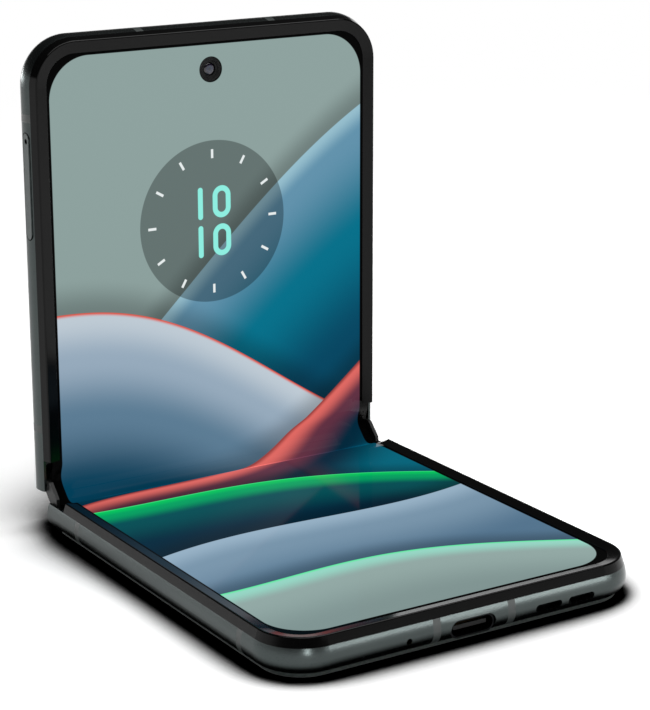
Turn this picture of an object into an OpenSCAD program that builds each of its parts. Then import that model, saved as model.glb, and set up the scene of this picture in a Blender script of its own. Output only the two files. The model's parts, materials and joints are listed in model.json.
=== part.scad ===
// Foldable smartphone: two slim halves joined by a double-axis hinge inside a round spine.
// The phone stands as a laptop does: lower half flat on its back, upper half upright.
// Both fold axes lie in the plane of the main display, so the display keeps its length.

/* [Body] */
// Width of the phone
body_w = 73.95; // [68:0.05:90]
// Length of one half, from its fold axis to its free edge
half_l = 84.3; // [80:0.1:102]
// Thickness of one half, from its back to the display surface
body_t = 6.8; // [6.6:0.1:8.2]
// Radius of the four outer corners, seen from the front
corner_r = 9; // [8:0.5:12]
// Angle between the two halves in the standing pose
rest_fold = 90; // [60:5:120]

/* [Frame] */
// Thickness of the metal side wall
wall_t = 1.9; // [1.7:0.1:2.3]
// Height of the wall's widest line below the display surface
belly_z = 3.4; // [3:0.1:3.6]
// How far the wall draws in from its widest line to its top edge
top_draw = 0.42; // [0.3:0.01:0.5]
// How far the wall draws in from its widest line to its bottom edge
bottom_draw = 1.45; // [1.3:0.01:1.6]
// Thickness of the plate inside each frame
midplate_t = 0.8; // [0.7:0.1:1]
// Width of an antenna band in the metal wall
band_w = 1.5; // [1:0.1:2]

/* [Display] */
// Height of the rim's crest above the display surface
rim_h = 0.6; // [0.4:0.1:0.8]
// Distance from the outer edge of the body to the rim's crest
crest_inset = 1.2; // [1.1:0.05:1.4]
// Distance from the outer edge of the body to the recess that holds the display
recess_inset = 1.67; // [1.6:0.01:1.75]
// Distance from the outer edge of the body to the lip of the rim, which covers the display's edge
lip_inset = 3.25; // [3:0.05:3.4]
// Thickness of the flexible display
display_t = 0.7; // [0.6:0.05:0.8]
// Thickness of the plate that backs the display
plate_t = 0.4; // [0.3:0.05:0.4]
// Diameter of the front camera's window in the display
punch_d = 4.65; // [4:0.05:5]

/* [Hinge] */
// Distance between the two fold axes
axis_gap = 2.2; // [2.1:0.1:2.6]
// Outer radius of the spine cover about each axis
spine_r = 4.2; // [4.1:0.05:4.4]
// Wall of the spine cover
spine_wall = 0.55; // [0.45:0.05:0.6]
// Gap between the two halves when the phone is open flat
end_gap = 0.4; // [0.4:0.05:0.6]
// Inner radius of a hinge arm's arc
arc_r_in = 2.6; // [2.5:0.05:2.65]
// Radial thickness of a hinge arm's arc
arc_t = 0.5; // [0.4:0.05:0.55]
// Width of a hinge arm
arm_w = 4; // [3:0.5:5]

/* [Ports and keys] */
// Width of the charging socket's shell
usb_w = 8.94; // [8.94:0.01:9]
// Height of the charging socket's shell
usb_h = 3.16; // [3.16:0.01:3.2]
// Length of the charging socket's shell
usb_l = 7.35; // [6.5:0.05:8]
// Length of the power key
power_l = 12; // [10:0.5:14]
// Length of the volume key
volume_l = 20; // [18:0.5:22]
// Width of a side key
key_w = 2.2; // [1.8:0.1:2.4]
// Depth of the side keys' middle below the display surface
key_depth = 2.8; // [2.6:0.1:3.2]
// Height of a side key above the metal wall
key_out = 0.35; // [0.2:0.05:0.5]
// Inward travel of a side key
key_travel = 0.25; // [0.15:0.05:0.3]
// Length of the card tray's face
tray_l = 19.6; // [18:0.2:21]
// Depth of the card tray
tray_d = 15; // [14:0.5:17]

/* [Cameras] */
// Outer diameter of a rear camera ring
ring_d = 11.4; // [10.4:0.2:12]
// Height of a rear camera ring above the back
ring_out = 1.1; // [0.8:0.1:1.5]

/* [Clearances] */
// Gap between the spine cover and the recess that it turns in
spine_gap = 0.25; // [0.2:0.05:0.3]
// Running gap on each face of a hinge arm's arc
arc_gap = 0.08; // [0.06:0.01:0.1]
// Gap round a side key, the card tray and other loose pieces
slip = 0.15; // [0.1:0.05:0.2]
// Gap between a fixed part and the pocket that holds it
seat = 0.1; // [0.05:0.05:0.15]

/* [Hidden] */
$fn = 96;
eps = 0.02;

// ---- places of the two halves and the spine -------------------------------------------------
axis_half = axis_gap / 2;
end_over = (axis_gap - end_gap) / 2;          // how far a half reaches past its own axis
axis_y = (half_l - end_over) / 2;             // the lower half's back is centred on the origin

// A half is drawn with x across, y away from its fold axis and z = 0 on the display surface.
module in_lower() {
    translate([0, axis_y, body_t])
        mirror([0, 1, 0])
            children();
}

module in_spine() {
    translate([0, axis_y, body_t])
        rotate([rest_fold / 2, 0, 0])
            translate([0, axis_half, 0])
                children();
}

module in_upper() {
    in_spine()
        translate([0, axis_half, 0])
            rotate([rest_fold / 2, 0, 0])
                children();
}

// ---- derived sizes --------------------------------------------------------------------------
side_x = body_w / 2;
core_x = side_x - corner_r;                   // corner centres
core_y = half_l - corner_r;
tape_t = 0.1;
cover_t = 0.9;                                // back cover
cover_top = -body_t + cover_t;                // inner face of the back cover
ledge_bottom = cover_top + tape_t;            // the frame's ledge over the tape
ledge_w = 1.6;
ledge_t = 0.8;
belly_r_low = belly_radius(-ledge_bottom - belly_z, bottom_draw);
cover_inset = bottom_draw + 0.08;
cover_round = 0.85;
wall_in = corner_r - wall_t;                  // inner face of the wall, from a corner centre
display_r = corner_r - recess_inset - seat;
display_x = core_x + display_r;               // half the display's width
plate_top = -display_t;
mid_top = plate_top - plate_t;
mid_bottom = mid_top - midplate_t;
frame_top = mid_top;                          // top of the metal wall, where the rim takes over
belly_r_up = belly_radius(belly_z + frame_top, top_draw);
crest_r = 0.3;                                // rounding of the rim's crest
lip_r = 0.06;                                 // rounding of the rim's lip
lip_gap = 0.04;                               // height of the lip above the display
cavity_x = core_x + wall_in;
cavity_end = core_y + wall_in;
recess_r = spine_r + spine_gap;
beam_t = 1.75;                                // hinge bar behind the recess
beam_end = recess_r + beam_t;                 // hinge end of the inner cavity
rim_start = beam_end - 1;                     // hinge end of the rim
plate_start = beam_end + 0.4;                 // hinge end of the flat display
cover_start = 2;                              // hinge end of the back cover
side_clear_x = side_x - 0.87;                 // the side wall is thin where it passes the spine
spine_x = side_x - 2.27;                      // half the length of the spine cover
back_round = 0.8;
cavity_floor = ledge_bottom + 0.1;            // lowest level for parts beside the back cover
ledge_top = ledge_bottom + ledge_t;

// Radius of an arc that starts upright and draws in by d over a height of h.
function belly_radius(h, d) = (h * h + d * d) / (2 * d);

// ---- shapes that both halves share ----------------------------------------------------------
// Carries a profile round the two sides and the free end of a half.
// The profile's x is the distance from a corner centre, its y is the height.
module along_edge(from) {
    for (side = [0, 1])
        mirror([side, 0, 0]) {
            translate([core_x, core_y, 0])
                rotate([90, 0, 0])
                    linear_extrude(core_y - from)
                        children();
            translate([core_x, core_y, 0])
                rotate_extrude(angle = 90)
                    children();
        }
    translate([-core_x, core_y, 0])
        rotate([90, 0, 90])
            linear_extrude(2 * core_x)
                children();
}

// Flat outline of a half, inset from the body's edge, from a start line to the free end.
module half_outline(inset, from) {
    reach = corner_r - inset;
    translate([-core_x - reach, from])
        square([2 * (core_x + reach), core_y - from]);
    translate([-core_x, core_y - 1])
        square([2 * core_x, reach + 1]);
    for (side = [-1, 1])
        translate([side * core_x, core_y])
            circle(r = reach);
}

module half_plate(inset, from, bottom, top) {
    translate([0, 0, bottom])
        linear_extrude(top - bottom)
            half_outline(inset, from);
}

module rounded_box(size, r) {
    linear_extrude(size[2])
        rounded_rect(size[0], size[1], r);
}

module rounded_rect(w, l, r) {
    square([w - 2 * r, l], center = true);
    square([w, l - 2 * r], center = true);
    for (sx = [-1, 1], sy = [-1, 1])
        translate([sx * (w / 2 - r), sy * (l / 2 - r)])
            circle(r = r, $fn = 48);
}

// Box between two corners.
module block(low, high) {
    translate(low)
        cube([high[0] - low[0], high[1] - low[1], high[2] - low[2]]);
}

module wall_profile() {
    intersection() {
        translate([corner_r - belly_r_up, -belly_z])
            circle(r = belly_r_up);
        translate([wall_in, -belly_z])
            square([wall_t + 1, belly_z + frame_top]);
    }
    intersection() {
        translate([corner_r - belly_r_low, -belly_z])
            circle(r = belly_r_low);
        translate([wall_in, ledge_bottom])
            square([wall_t + 1, -belly_z - ledge_bottom]);
    }
    translate([wall_in - ledge_w, ledge_bottom])
        square([ledge_w + 0.2, ledge_t]);
}

// The rim stands on the metal wall, rises to its crest and slopes down to a lip over the display.
module rim_profile() {
    difference() {
        hull() {
            translate([corner_r - crest_inset, rim_h - crest_r])
                circle(r = crest_r, $fn = 32);
            translate([corner_r - lip_inset + lip_r, lip_gap + lip_r])
                circle(r = lip_r, $fn = 16);
            translate([corner_r - recess_inset, frame_top])
                square([recess_inset - top_draw, eps]);
        }
        translate([corner_r - lip_inset - 1, frame_top - 1])
            square([lip_inset - recess_inset + 1, lip_gap - frame_top + 1]);
    }
}

module cover_profile(reach) {
    translate([0, -body_t])
        square([reach - cover_round, cover_t]);
    intersection() {
        translate([reach - cover_round, cover_top])
            circle(r = cover_round, $fn = 48);
        translate([reach - cover_round - eps, -body_t])
            square([cover_round + 1, cover_t]);
    }
    translate([reach - cover_round - eps, cover_top - (cover_t - cover_round)])
        square([eps, cover_t - cover_round]);
}

// Solid bar across the hinge end of a half, with the round recess for the spine.
module hinge_bar() {
    reach_x = core_x + corner_r - cover_inset;
    difference() {
        intersection() {
            translate([0, beam_end + 1, 0])
                rotate([90, 0, 0])
                    linear_extrude(beam_end + 1 + end_over + 1) {
                        translate([-cavity_x - 0.5, ledge_bottom])
                            square([2 * cavity_x + 1, mid_top - ledge_bottom]);
                        translate([-reach_x + cover_round, -body_t])
                            square([2 * (reach_x - cover_round), cover_t + 1]);
                        intersection() {
                            for (side = [-1, 1])
                                translate([side * (reach_x - cover_round), cover_top])
                                    circle(r = cover_round, $fn = 48);
                            translate([-reach_x, -body_t])
                                square([2 * reach_x, cover_t + tape_t]);
                        }
                    }
            rotate([90, 0, 90])
                translate([0, 0, -body_w / 2])
                    linear_extrude(body_w)
                        bar_section();
        }
        rotate([0, 90, 0])
            cylinder(r = recess_r, h = body_w, center = true);
    }
}

module bar_section() {
    translate([-end_over + back_round, -body_t])
        square([cover_start - seat + end_over - back_round, body_t]);
    translate([-end_over, -body_t + back_round])
        square([back_round + 0.1, body_t]);
    translate([-end_over + back_round, -body_t + back_round])
        circle(r = back_round, $fn = 48);
    translate([-end_over, ledge_bottom])
        square([beam_end + end_over, mid_top - ledge_bottom]);
}

// Metal frame of a half without its openings: wall, plate and hinge bar.
module frame_blank() {
    difference() {
        along_edge(-end_over)
            wall_profile();
        half_plate(recess_inset, -end_over - 1, mid_top, 1);
        block([-side_clear_x, -end_over - 1, -belly_z - 10], [side_clear_x, rim_start - seat, 1]);
    }
    hinge_bar();
    half_plate(wall_t - 0.2, beam_end - 0.5, mid_bottom, mid_top);
}

module rim_strip() {
    along_edge(rim_start)
        rim_profile();
}

module back_tape() {
    difference() {
        half_plate(wall_t + 0.1, cover_start + 1, cover_top, ledge_bottom);
        half_plate(wall_t + ledge_w - 0.1, beam_end + 0.8, cover_top - 1, ledge_bottom + 1);
    }
}

module back_cover_blank() {
    along_edge(cover_start)
        cover_profile(corner_r - cover_inset);
    block([-core_x - eps, cover_start, -body_t], [core_x + eps, core_y + eps, cover_top]);
}

// A band stands in its slot across the wall, flush with the metal.
module wall_bands(list) {
    for (b = list)
        translate([b[0], b[1], 0])
            cube([b[2], b[3], 2 * body_t], center = true);
}

module bands_of(list) {
    intersection() {
        difference() {
            along_edge(-end_over)
                wall_profile();
            half_plate(recess_inset, -end_over - 1, mid_top, 1);
            half_plate(wall_t, -end_over - 1, -2 * body_t, 1);
        }
        wall_bands(list);
    }
}

near_band_s = 11.3;                           // side bands near the fold
lower_band_s = half_l - 13.7;                 // side bands near the free ends
upper_band_s = half_l - 14.6;
band_reach = 4;

// Middle and size, across and along the half, of each band: four in the sides, two in the end.
function band_places(far_s, end_x) = concat(
    [for (side = [-1, 1], s = [near_band_s, far_s]) [side * side_x, s, band_reach, band_w]],
    [for (x = end_x) [x, half_l, band_w, band_reach]]
);
lower_bands = band_places(lower_band_s, [-7.3, 7.85]);
upper_bands = band_places(upper_band_s, [-14, 14]);

// ---- hinge ----------------------------------------------------------------------------------
// Middle lines of the arms, across the phone: the lower and upper arms stand side by side.
arm_out_x = spine_x - 8.7;
arm_in_x = arm_out_x - arm_w - 2;
arm_x_lower = [-arm_out_x, arm_in_x];
arm_x_upper = [-arm_in_x, arm_out_x];
arc_r_out = arc_r_in + arc_t;
tongue_top = -display_t - 0.1;
tongue_t = 0.6;
flange_t = 0.4;
flange_start = recess_r + 0.45;
flange_end = flange_start + 8.1;
flange_bottom = mid_top - flange_t;
arc_start = 205;
arc_end = 318;
screw_s = [flange_start + 3.7, flange_start + 6.5];
screw_r = 0.6;
screw_head_r = 1.1;
screw_head_t = 0.2;
boss_r = 1.3;
boss_bottom = -3.4;

// Ring sector about the fold axis, drawn in the plane across the hinge.
module sector(r_in, r_out, a0, a1) {
    steps = 6;
    big = 2 * r_out;
    intersection() {
        difference() {
            circle(r = r_out, $fn = 128);
            circle(r = r_in, $fn = 128);
        }
        polygon(concat([[0, 0]], [
            for (i = [0 : steps])
                let (a = a0 + (a1 - a0) * i / steps)
                    [big * cos(a), big * sin(a)]
        ]));
    }
}

// Extrudes a drawing of the plane across the hinge along x, centred on a middle line.
module across(x, w) {
    translate([x - w / 2, 0, 0])
        rotate([90, 0, 90])
            linear_extrude(w)
                children();
}

// Arm of one half: an arc about the fold axis and a tongue that is screwed to the frame.
// Drawn with y away from the axis, so the arc angles are mirrored.
module arm(x) {
    difference() {
        union() {
            across(x, arm_w)
                mirror([1, 0])
                    sector(arc_r_in, arc_r_out, arc_start, arc_end);
            across(x, arm_w) {
                polygon([
                    [arc_r_in - 0.4, tongue_top - 0.42], [arc_r_in + 0.15, tongue_top - 0.05],
                    [arc_r_out, tongue_top], [flange_start + 0.3, tongue_top],
                    [flange_start + 0.3, tongue_top - tongue_t], [arc_r_in + 0.06, tongue_top - tongue_t],
                    [arc_r_in - 0.18, tongue_top - 0.55]
                ]);
                translate([flange_start, flange_bottom])
                    square([flange_end - flange_start, flange_t]);
            }
        }
        for (s = screw_s)
            translate([x, s, 0]) {
                translate([0, 0, flange_bottom - 1])
                    cylinder(r = screw_r + 0.05, h = 2, $fn = 32);
                translate([0, 0, mid_top - screw_head_t])
                    cylinder(r = screw_head_r + 0.05, h = 1, $fn = 32);
            }
    }
}

module arm_screw(x, s) {
    translate([x, s, mid_top - screw_head_t])
        cylinder(r = screw_head_r, h = screw_head_t - 0.02, $fn = 32);
    translate([x, s, boss_bottom + 0.3])
        cylinder(r = screw_r, h = mid_top - screw_head_t - boss_bottom - 0.3, $fn = 32);
}

module arm_seats_cut(xs) {
    for (x = xs) {
        block([x - arm_w / 2 - seat, flange_start - 0.9, flange_bottom],
            [x + arm_w / 2 + seat, flange_end + seat, mid_top + 1]);
        for (s = screw_s)
            translate([x, s, boss_bottom - 0.1])
                cylinder(r = screw_r, h = 4, $fn = 32);
    }
}

module arm_bosses(xs) {
    for (x = xs, s = screw_s)
        translate([x, s, boss_bottom])
            cylinder(r = boss_r, h = mid_bottom - boss_bottom + 0.1, $fn = 32);
}

// Outline of the spine about both axes, drawn in the plane across the hinge.
module spine_outline(r, top) {
    intersection() {
        union() {
            for (side = [-1, 1])
                translate([side * axis_half, 0])
                    circle(r = r, $fn = 128);
            translate([-axis_half, -r])
                square([axis_gap, r]);
        }
        translate([-2 * spine_r, -2 * spine_r])
            square([4 * spine_r, 2 * spine_r + top]);
    }
}

spine_top = -display_t - 0.06;
bracket_r = spine_r - spine_wall - 0.05;
bracket_top = spine_top - seat;
flex_w = 12;
flex_t = 0.2;
flex_way_x = flex_w / 2 + 0.4;                // half the width of the cable's way
bracket_in = flex_w / 2 + 3;
bracket_out = spine_x - 0.2;

// Space that a hinge arm sweeps in the spine, for one side of the hinge.
module arm_way(x, side) {
    mirror([0, side, 0])
        across(x, arm_w + 2 * slip)
            translate([axis_half, 0])
                mirror([1, 0]) {
                    sector(arc_r_in - arc_gap, arc_r_out + arc_gap, 182, arc_end + 4);
                    translate([-spine_r - 1, tongue_top - tongue_t - 0.2])
                        square([spine_r + 1 - arc_r_in + 0.3, 2]);
                }
}

module bracket(low_x, high_x) {
    difference() {
        across((low_x + high_x) / 2, high_x - low_x)
            spine_outline(bracket_r, bracket_top);
        for (x = arm_x_lower)
            arm_way(x, 1);
        for (x = arm_x_upper)
            arm_way(x, 0);
    }
}

// ---- lower half -----------------------------------------------------------------------------
usb_z = -body_t / 2 - 0.6;                    // middle of the charging socket
usb_wall = 0.3;
usb_back = 0.8;                               // thickness of the socket's closed end
usb_mouth = half_l - 0.45;
tongue_w = 6.7;
tongue_h = 0.7;
mic_x = -12.8;
mic_d = 1.1;
port_z = usb_z + 0.2;                         // middle of the microphone hole and the sound slots
slot_h = 1.3;
slot_l = 5.5;
slot_x = [15.65, 22.6];
board_top = mid_bottom - 0.1;
board_t = 0.8;

module usb_section(w, h) {
    for (side = [-1, 1])
        translate([side * (w - h) / 2, 0])
            circle(r = h / 2, $fn = 64);
    square([w - h, h], center = true);
}

module usb_bore(w, h, from, to) {
    translate([0, to, usb_z])
        rotate([90, 0, 0])
            linear_extrude(to - from)
                usb_section(w, h);
}

module lower_openings() {
    usb_bore(usb_w + 2 * seat, usb_h + 2 * seat, cavity_end - ledge_w - 0.4, half_l + 1);
    translate([mic_x, half_l + 1, port_z])
        rotate([90, 0, 0])
            cylinder(d = mic_d, h = wall_t + 2, $fn = 32);
    for (x = slot_x)
        translate([x, half_l + 1, port_z])
            rotate([90, 0, 0])
                linear_extrude(wall_t + 2)
                    usb_section(slot_l, slot_h);
}

module lower_frame() {
    color("darkslategray")
        in_lower()
            difference() {
                union() {
                    frame_blank();
                    arm_bosses(arm_x_lower);
                }
                wall_bands(lower_bands);
                lower_openings();
                arm_seats_cut(arm_x_lower);
                flex_slot();
            }
}

// The flex cable dives through this slot behind the hinge bar.
module flex_slot() {
    block([-flex_way_x, beam_end - 2.2, mid_top - 0.4], [flex_way_x, beam_end + 0.1, mid_top + 1]);
    block([-flex_way_x, beam_end - 0.9, mid_bottom - 0.9], [flex_way_x, beam_end + 0.1, mid_top + 1]);
}

module lower_antenna_bands() {
    color("dimgray")
        in_lower()
            bands_of(lower_bands);
}

module lower_rim() {
    color("black")
        in_lower()
            rim_strip();
}

module lower_display_plate() {
    color("silver")
        in_lower()
            half_plate(corner_r - display_r, plate_start, mid_top, plate_top);
}

module display_lower() {
    color("teal")
        in_lower()
            half_plate(corner_r - display_r, plate_start, plate_top, 0);
}

module lower_back_tape() {
    color("black")
        in_lower()
            back_tape();
}

module lower_back_cover() {
    color("darkslategray")
        in_lower()
            back_cover_blank();
}

board_from = half_l - 33.3;                   // hinge end of the charging board
board_to = cavity_end - 0.4;                  // free end of both boards
battery_x = cavity_x - 4;                     // half the width of a battery
battery_from = flange_end + 2.5;
screw_x = cavity_x - 7;                       // outer board screws

// A battery between the hinge screws and a board.
module battery(to) {
    translate([0, (battery_from + to) / 2, cavity_floor])
        rounded_box([2 * battery_x, to - battery_from, mid_bottom - 0.05 - cavity_floor], 1.2);
}

module lower_battery() {
    color("dimgray")
        in_lower()
            battery(board_from - 1.5);
}

// A circuit board that fills the cavity between two lines across a half.
module board_blank(from, to, top) {
    intersection() {
        half_plate(wall_t + 0.3, from, top - board_t, top);
        block([-side_x, from, -body_t], [side_x, to, 0]);
    }
}

module charge_board() {
    color("darkgreen")
        in_lower()
            difference() {
                board_blank(board_from, board_to, board_top);
                clear_block([-usb_w / 2, usb_mouth - usb_l, -2 * body_t], [usb_w / 2, board_to + 1, 0]);
                clear_block([speaker_low[0], speaker_low[1], -2 * body_t], [side_x, board_to + 1, 0]);
                clear_block([motor_low[0], motor_low[1], -2 * body_t], [motor_high[0], motor_high[1], 0]);
                screw_holes(board_screws);
            }
}

board_clear = 0.2;                            // gap round what stands in a board's cut-outs

module clear_block(low, high) {
    room = [board_clear, board_clear, 0];
    block(low - room, high + room);
}

module screw_holes(places) {
    for (p = places)
        translate([p[0], p[1], -2 * body_t])
            cylinder(r = screw_r + 0.05, h = 2 * body_t, $fn = 32);
}

board_screws = [
    [-screw_x, board_from + 3.3], [screw_x, board_from + 3.3],
    [-screw_x, half_l - 6.5], [usb_w / 2 + 2.7, half_l - 16]
];

module board_screw(x, y, under, over) {
    translate([x, y, under - 0.5])
        cylinder(r = screw_head_r, h = 0.5, $fn = 32);
    translate([x, y, under])
        cylinder(r = screw_r, h = over - under, $fn = 32);
}

module usb_shell() {
    color("silver")
        in_lower()
            difference() {
                usb_bore(usb_w, usb_h, usb_mouth - usb_l, usb_mouth);
                usb_bore(usb_w - 2 * usb_wall, usb_h - 2 * usb_wall,
                    usb_mouth - usb_l + usb_back, usb_mouth + 1);
            }
}

module usb_tongue() {
    color("black")
        in_lower()
            block([-tongue_w / 2, usb_mouth - usb_l + usb_back, usb_z - tongue_h / 2],
                [tongue_w / 2, usb_mouth - usb_back, usb_z + tongue_h / 2]);
}

speaker_low = [slot_x[0] - slot_l / 2 - 1.4, half_l - 19, ledge_top + seat];
speaker_high = [core_x + 2.5, cavity_end - 0.6, board_top];

module loudspeaker() {
    color("black")
        in_lower()
            difference() {
                block(speaker_low, speaker_high);
                block([slot_x[0] - slot_l / 2, speaker_high[1] - 4, port_z - slot_h / 2],
                    [slot_x[1] + slot_l / 2, speaker_high[1] + 1, port_z + slot_h / 2]);
            }
}

module speaker_mesh() {
    hole_d = 0.3;
    rows = 3;
    row_pitch = 0.42;
    holes = 12;
    from_x = slot_x[0] - slot_l / 2 + 0.55;
    pitch = (slot_x[1] + slot_l / 2 - 0.55 - from_x) / (holes - 1);
    color("gray")
        in_lower()
            difference() {
                block([slot_x[0] - slot_l / 2 - 1, cavity_end - 0.6, port_z - 1.05],
                    [slot_x[1] + slot_l / 2 + 0.4, cavity_end - 0.05, port_z + 1.05]);
                for (i = [0 : holes - 1], j = [0 : rows - 1])
                    translate([from_x + i * pitch, cavity_end + 1, port_z + (j - 1) * row_pitch])
                        rotate([90, 0, 0])
                            cylinder(d = hole_d, h = 3, $fn = 16);
            }
}

module bottom_microphone() {
    color("gold")
        in_lower()
            difference() {
                block([mic_x - 1.6, cavity_end - 1.2, port_z - 1.2],
                    [mic_x + 1.6, cavity_end - 0.05, port_z + 0.7]);
                translate([mic_x, cavity_end + 1, port_z])
                    rotate([90, 0, 0])
                        cylinder(d = 0.8, h = 1.6, $fn = 32);
            }
}

motor_low = [-battery_x, board_from + 6.8, cavity_floor];
motor_high = [-battery_x + 13, board_from + 16.8, board_top];

module haptic_motor() {
    color("silver")
        in_lower()
            translate([(motor_low[0] + motor_high[0]) / 2, (motor_low[1] + motor_high[1]) / 2, motor_low[2]])
                rounded_box([
                    motor_high[0] - motor_low[0],
                    motor_high[1] - motor_low[1],
                    motor_high[2] - motor_low[2]
                ], 1.5);
}

module lower_screws() {
    color("silver")
        in_lower() {
            for (x = arm_x_lower, s = screw_s)
                arm_screw(x, s);
            for (p = board_screws)
                board_screw(p[0], p[1], board_top - board_t, mid_bottom - eps);
        }
}

module lower_hinge_arms() {
    color("lightsteelblue")
        in_lower()
            for (x = arm_x_lower)
                arm(x);
}

// ---- upper half -----------------------------------------------------------------------------
front_cam_s = half_l - 8.42;
front_cam_d = 6;
barrel_d = 4.4;
front_lens_d = 2.2;
glass_l = 20;
glass_w = body_w - 12;
glass_s = cavity_end - 1.5 - glass_l / 2;
glass_t = 0.5;
glass_r = 4;
ring_x = [glass_w / 2 - 19.5, glass_w / 2 - 6.5];
cam_s = glass_s;
ring_in_d = ring_d - 2.4;
module_w = 8.6;
module_d = 7;
flash_x = (ring_x[0] + ring_x[1]) / 2;
flash_s = cam_s + 6.5;
flash_d = 2.6;
cover_lcd_w = 33.7;
cover_lcd_l = 16.8;
cover_lcd_x = -glass_w / 2 + 1.1 + cover_lcd_w / 2;
key_z = -key_depth;
volume_s = upper_band_s - band_w / 2 - 1.45 - volume_l / 2;
power_s = volume_s - volume_l / 2 - 5.5 - power_l / 2;
tray_s = upper_band_s - band_w / 2 - 1.95 - tray_l / 2;
tray_z = key_z + 0.2;
tray_face_h = 2.1;
tray_face_t = 1.2;
tray_t = 0.7;
pin_s = tray_s + tray_l / 2 - 1.5;
pin_d = 1;
card_l = 12.4;
card_w = 8.9;
earpiece_w = 12;

module side_slot(side, s, l, h, z, from_x, to_x) {
    translate([side * from_x, s, z])
        rotate([0, side * 90, 0])
            linear_extrude(to_x - from_x)
                rotate([0, 0, 90])
                    usb_section(l, h);
}

module upper_openings() {
    side_slot(1, power_s, power_l + 2 * slip, key_w + 2 * slip, key_z, cavity_x - 1, side_x + 1);
    side_slot(1, volume_s, volume_l + 2 * slip, key_w + 2 * slip, key_z, cavity_x - 1, side_x + 1);
    side_slot(-1, tray_s, tray_l + 2 * slip, tray_face_h + 2 * slip, tray_z, cavity_x - 1, side_x + 1);
    translate([0, front_cam_s, mid_bottom - 1])
        cylinder(d = front_cam_d + 2 * seat, h = 3, $fn = 64);
}

module upper_frame() {
    color("darkslategray")
        in_upper()
            difference() {
                union() {
                    frame_blank();
                    arm_bosses(arm_x_upper);
                }
                wall_bands(upper_bands);
                upper_openings();
                arm_seats_cut(arm_x_upper);
                flex_slot();
            }
}

module upper_antenna_bands() {
    color("dimgray")
        in_upper()
            bands_of(upper_bands);
}

module upper_rim() {
    color("black")
        in_upper()
            rim_strip();
}

module upper_display_plate() {
    color("silver")
        in_upper()
            difference() {
                half_plate(corner_r - display_r, plate_start, mid_top, plate_top);
                translate([0, front_cam_s, mid_top - 1])
                    cylinder(d = front_cam_d, h = 2, $fn = 64);
            }
}

module display_upper() {
    color("teal")
        in_upper()
            difference() {
                half_plate(corner_r - display_r, plate_start, plate_top, 0);
                translate([0, front_cam_s, -2])
                    cylinder(d = punch_d, h = 4, $fn = 64);
            }
}

module upper_back_tape() {
    color("black")
        in_upper()
            back_tape();
}

module cam_holes(d) {
    for (x = ring_x)
        translate([x, cam_s, -2 * body_t])
            cylinder(d = d, h = 2 * body_t, $fn = 64);
}

module flash_hole() {
    translate([flash_x, flash_s, -body_t - 1])
        cylinder(d = flash_d + 2 * seat, h = 3, $fn = 48);
}

module upper_back_cover() {
    color("darkslategray")
        in_upper()
            difference() {
                back_cover_blank();
                translate([0, glass_s, -body_t - 1])
                    rounded_box([glass_w + 2 * seat, glass_l + 2 * seat, 1 + glass_t], glass_r + seat);
                cam_holes(ring_in_d + 0.6);
                flash_hole();
                translate([cover_lcd_x, glass_s, -body_t - 1])
                    rounded_box([cover_lcd_w + 2 * seat, cover_lcd_l + 2 * seat, 3], 1);
            }
}

module cover_glass() {
    color("black")
        in_upper()
            difference() {
                translate([0, glass_s, -body_t])
                    rounded_box([glass_w, glass_l, glass_t - eps], glass_r);
                cam_holes(ring_in_d + 0.6);
                flash_hole();
            }
}

module cover_display() {
    color("navy")
        in_upper()
            translate([cover_lcd_x, glass_s, -body_t + glass_t])
                rounded_box([cover_lcd_w, cover_lcd_l, 1.2], 1);
}

module rear_camera_rings() {
    color("gray")
        in_upper()
            for (x = ring_x)
                translate([x, cam_s, -body_t - ring_out])
                    rotate_extrude($fn = 128)
                        ring_profile();
}

module ring_profile() {
    chamfer = 0.35;
    polygon([
        [ring_in_d / 2, 0], [ring_d / 2 - chamfer, 0], [ring_d / 2, chamfer],
        [ring_d / 2, ring_out - 0.02], [ring_in_d / 2 + 0.2, ring_out - 0.02],
        [ring_in_d / 2 + 0.2, ring_out + 1.6], [ring_in_d / 2 - 0.3, ring_out + 1.6],
        [ring_in_d / 2 - 0.3, 0.9], [ring_in_d / 2, 0.9]
    ]);
}

module rear_camera_lenses() {
    color("black")
        in_upper()
            for (x = ring_x)
                translate([x, cam_s, -body_t - ring_out + 0.15])
                    cylinder(d = ring_in_d - 0.04, h = 0.7, $fn = 96);
}

module rear_camera_modules() {
    barrel_low = -body_t - ring_out + 0.95;
    barrel_h = 2.2;
    box_low = barrel_low + 1.9;
    color("dimgray")
        in_upper()
            for (x = ring_x) {
                translate([x, cam_s, barrel_low])
                    cylinder(d = module_d, h = barrel_h, $fn = 64);
                translate([x, cam_s, box_low])
                    rounded_box([module_w, module_w, mid_bottom - seat - box_low], 1);
            }
}

module flash_lens() {
    color("ivory")
        in_upper()
            translate([flash_x, flash_s, -body_t + eps])
                cylinder(d = flash_d, h = 1.3, $fn = 48);
}

main_from = half_l - 40;                      // hinge end of the main board
main_top = mid_bottom - 1.4;
reader_x = -side_x + tray_d + 0.8;            // inner end of the card reader
main_screws = [
    [reader_x + 2.2, main_from + 2], [screw_x, main_from + 2],
    [-screw_x, half_l - 7], [battery_x, half_l - 7.6]
];

module upper_battery() {
    color("dimgray")
        in_upper()
            battery(main_from - 0.8);
}

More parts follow.
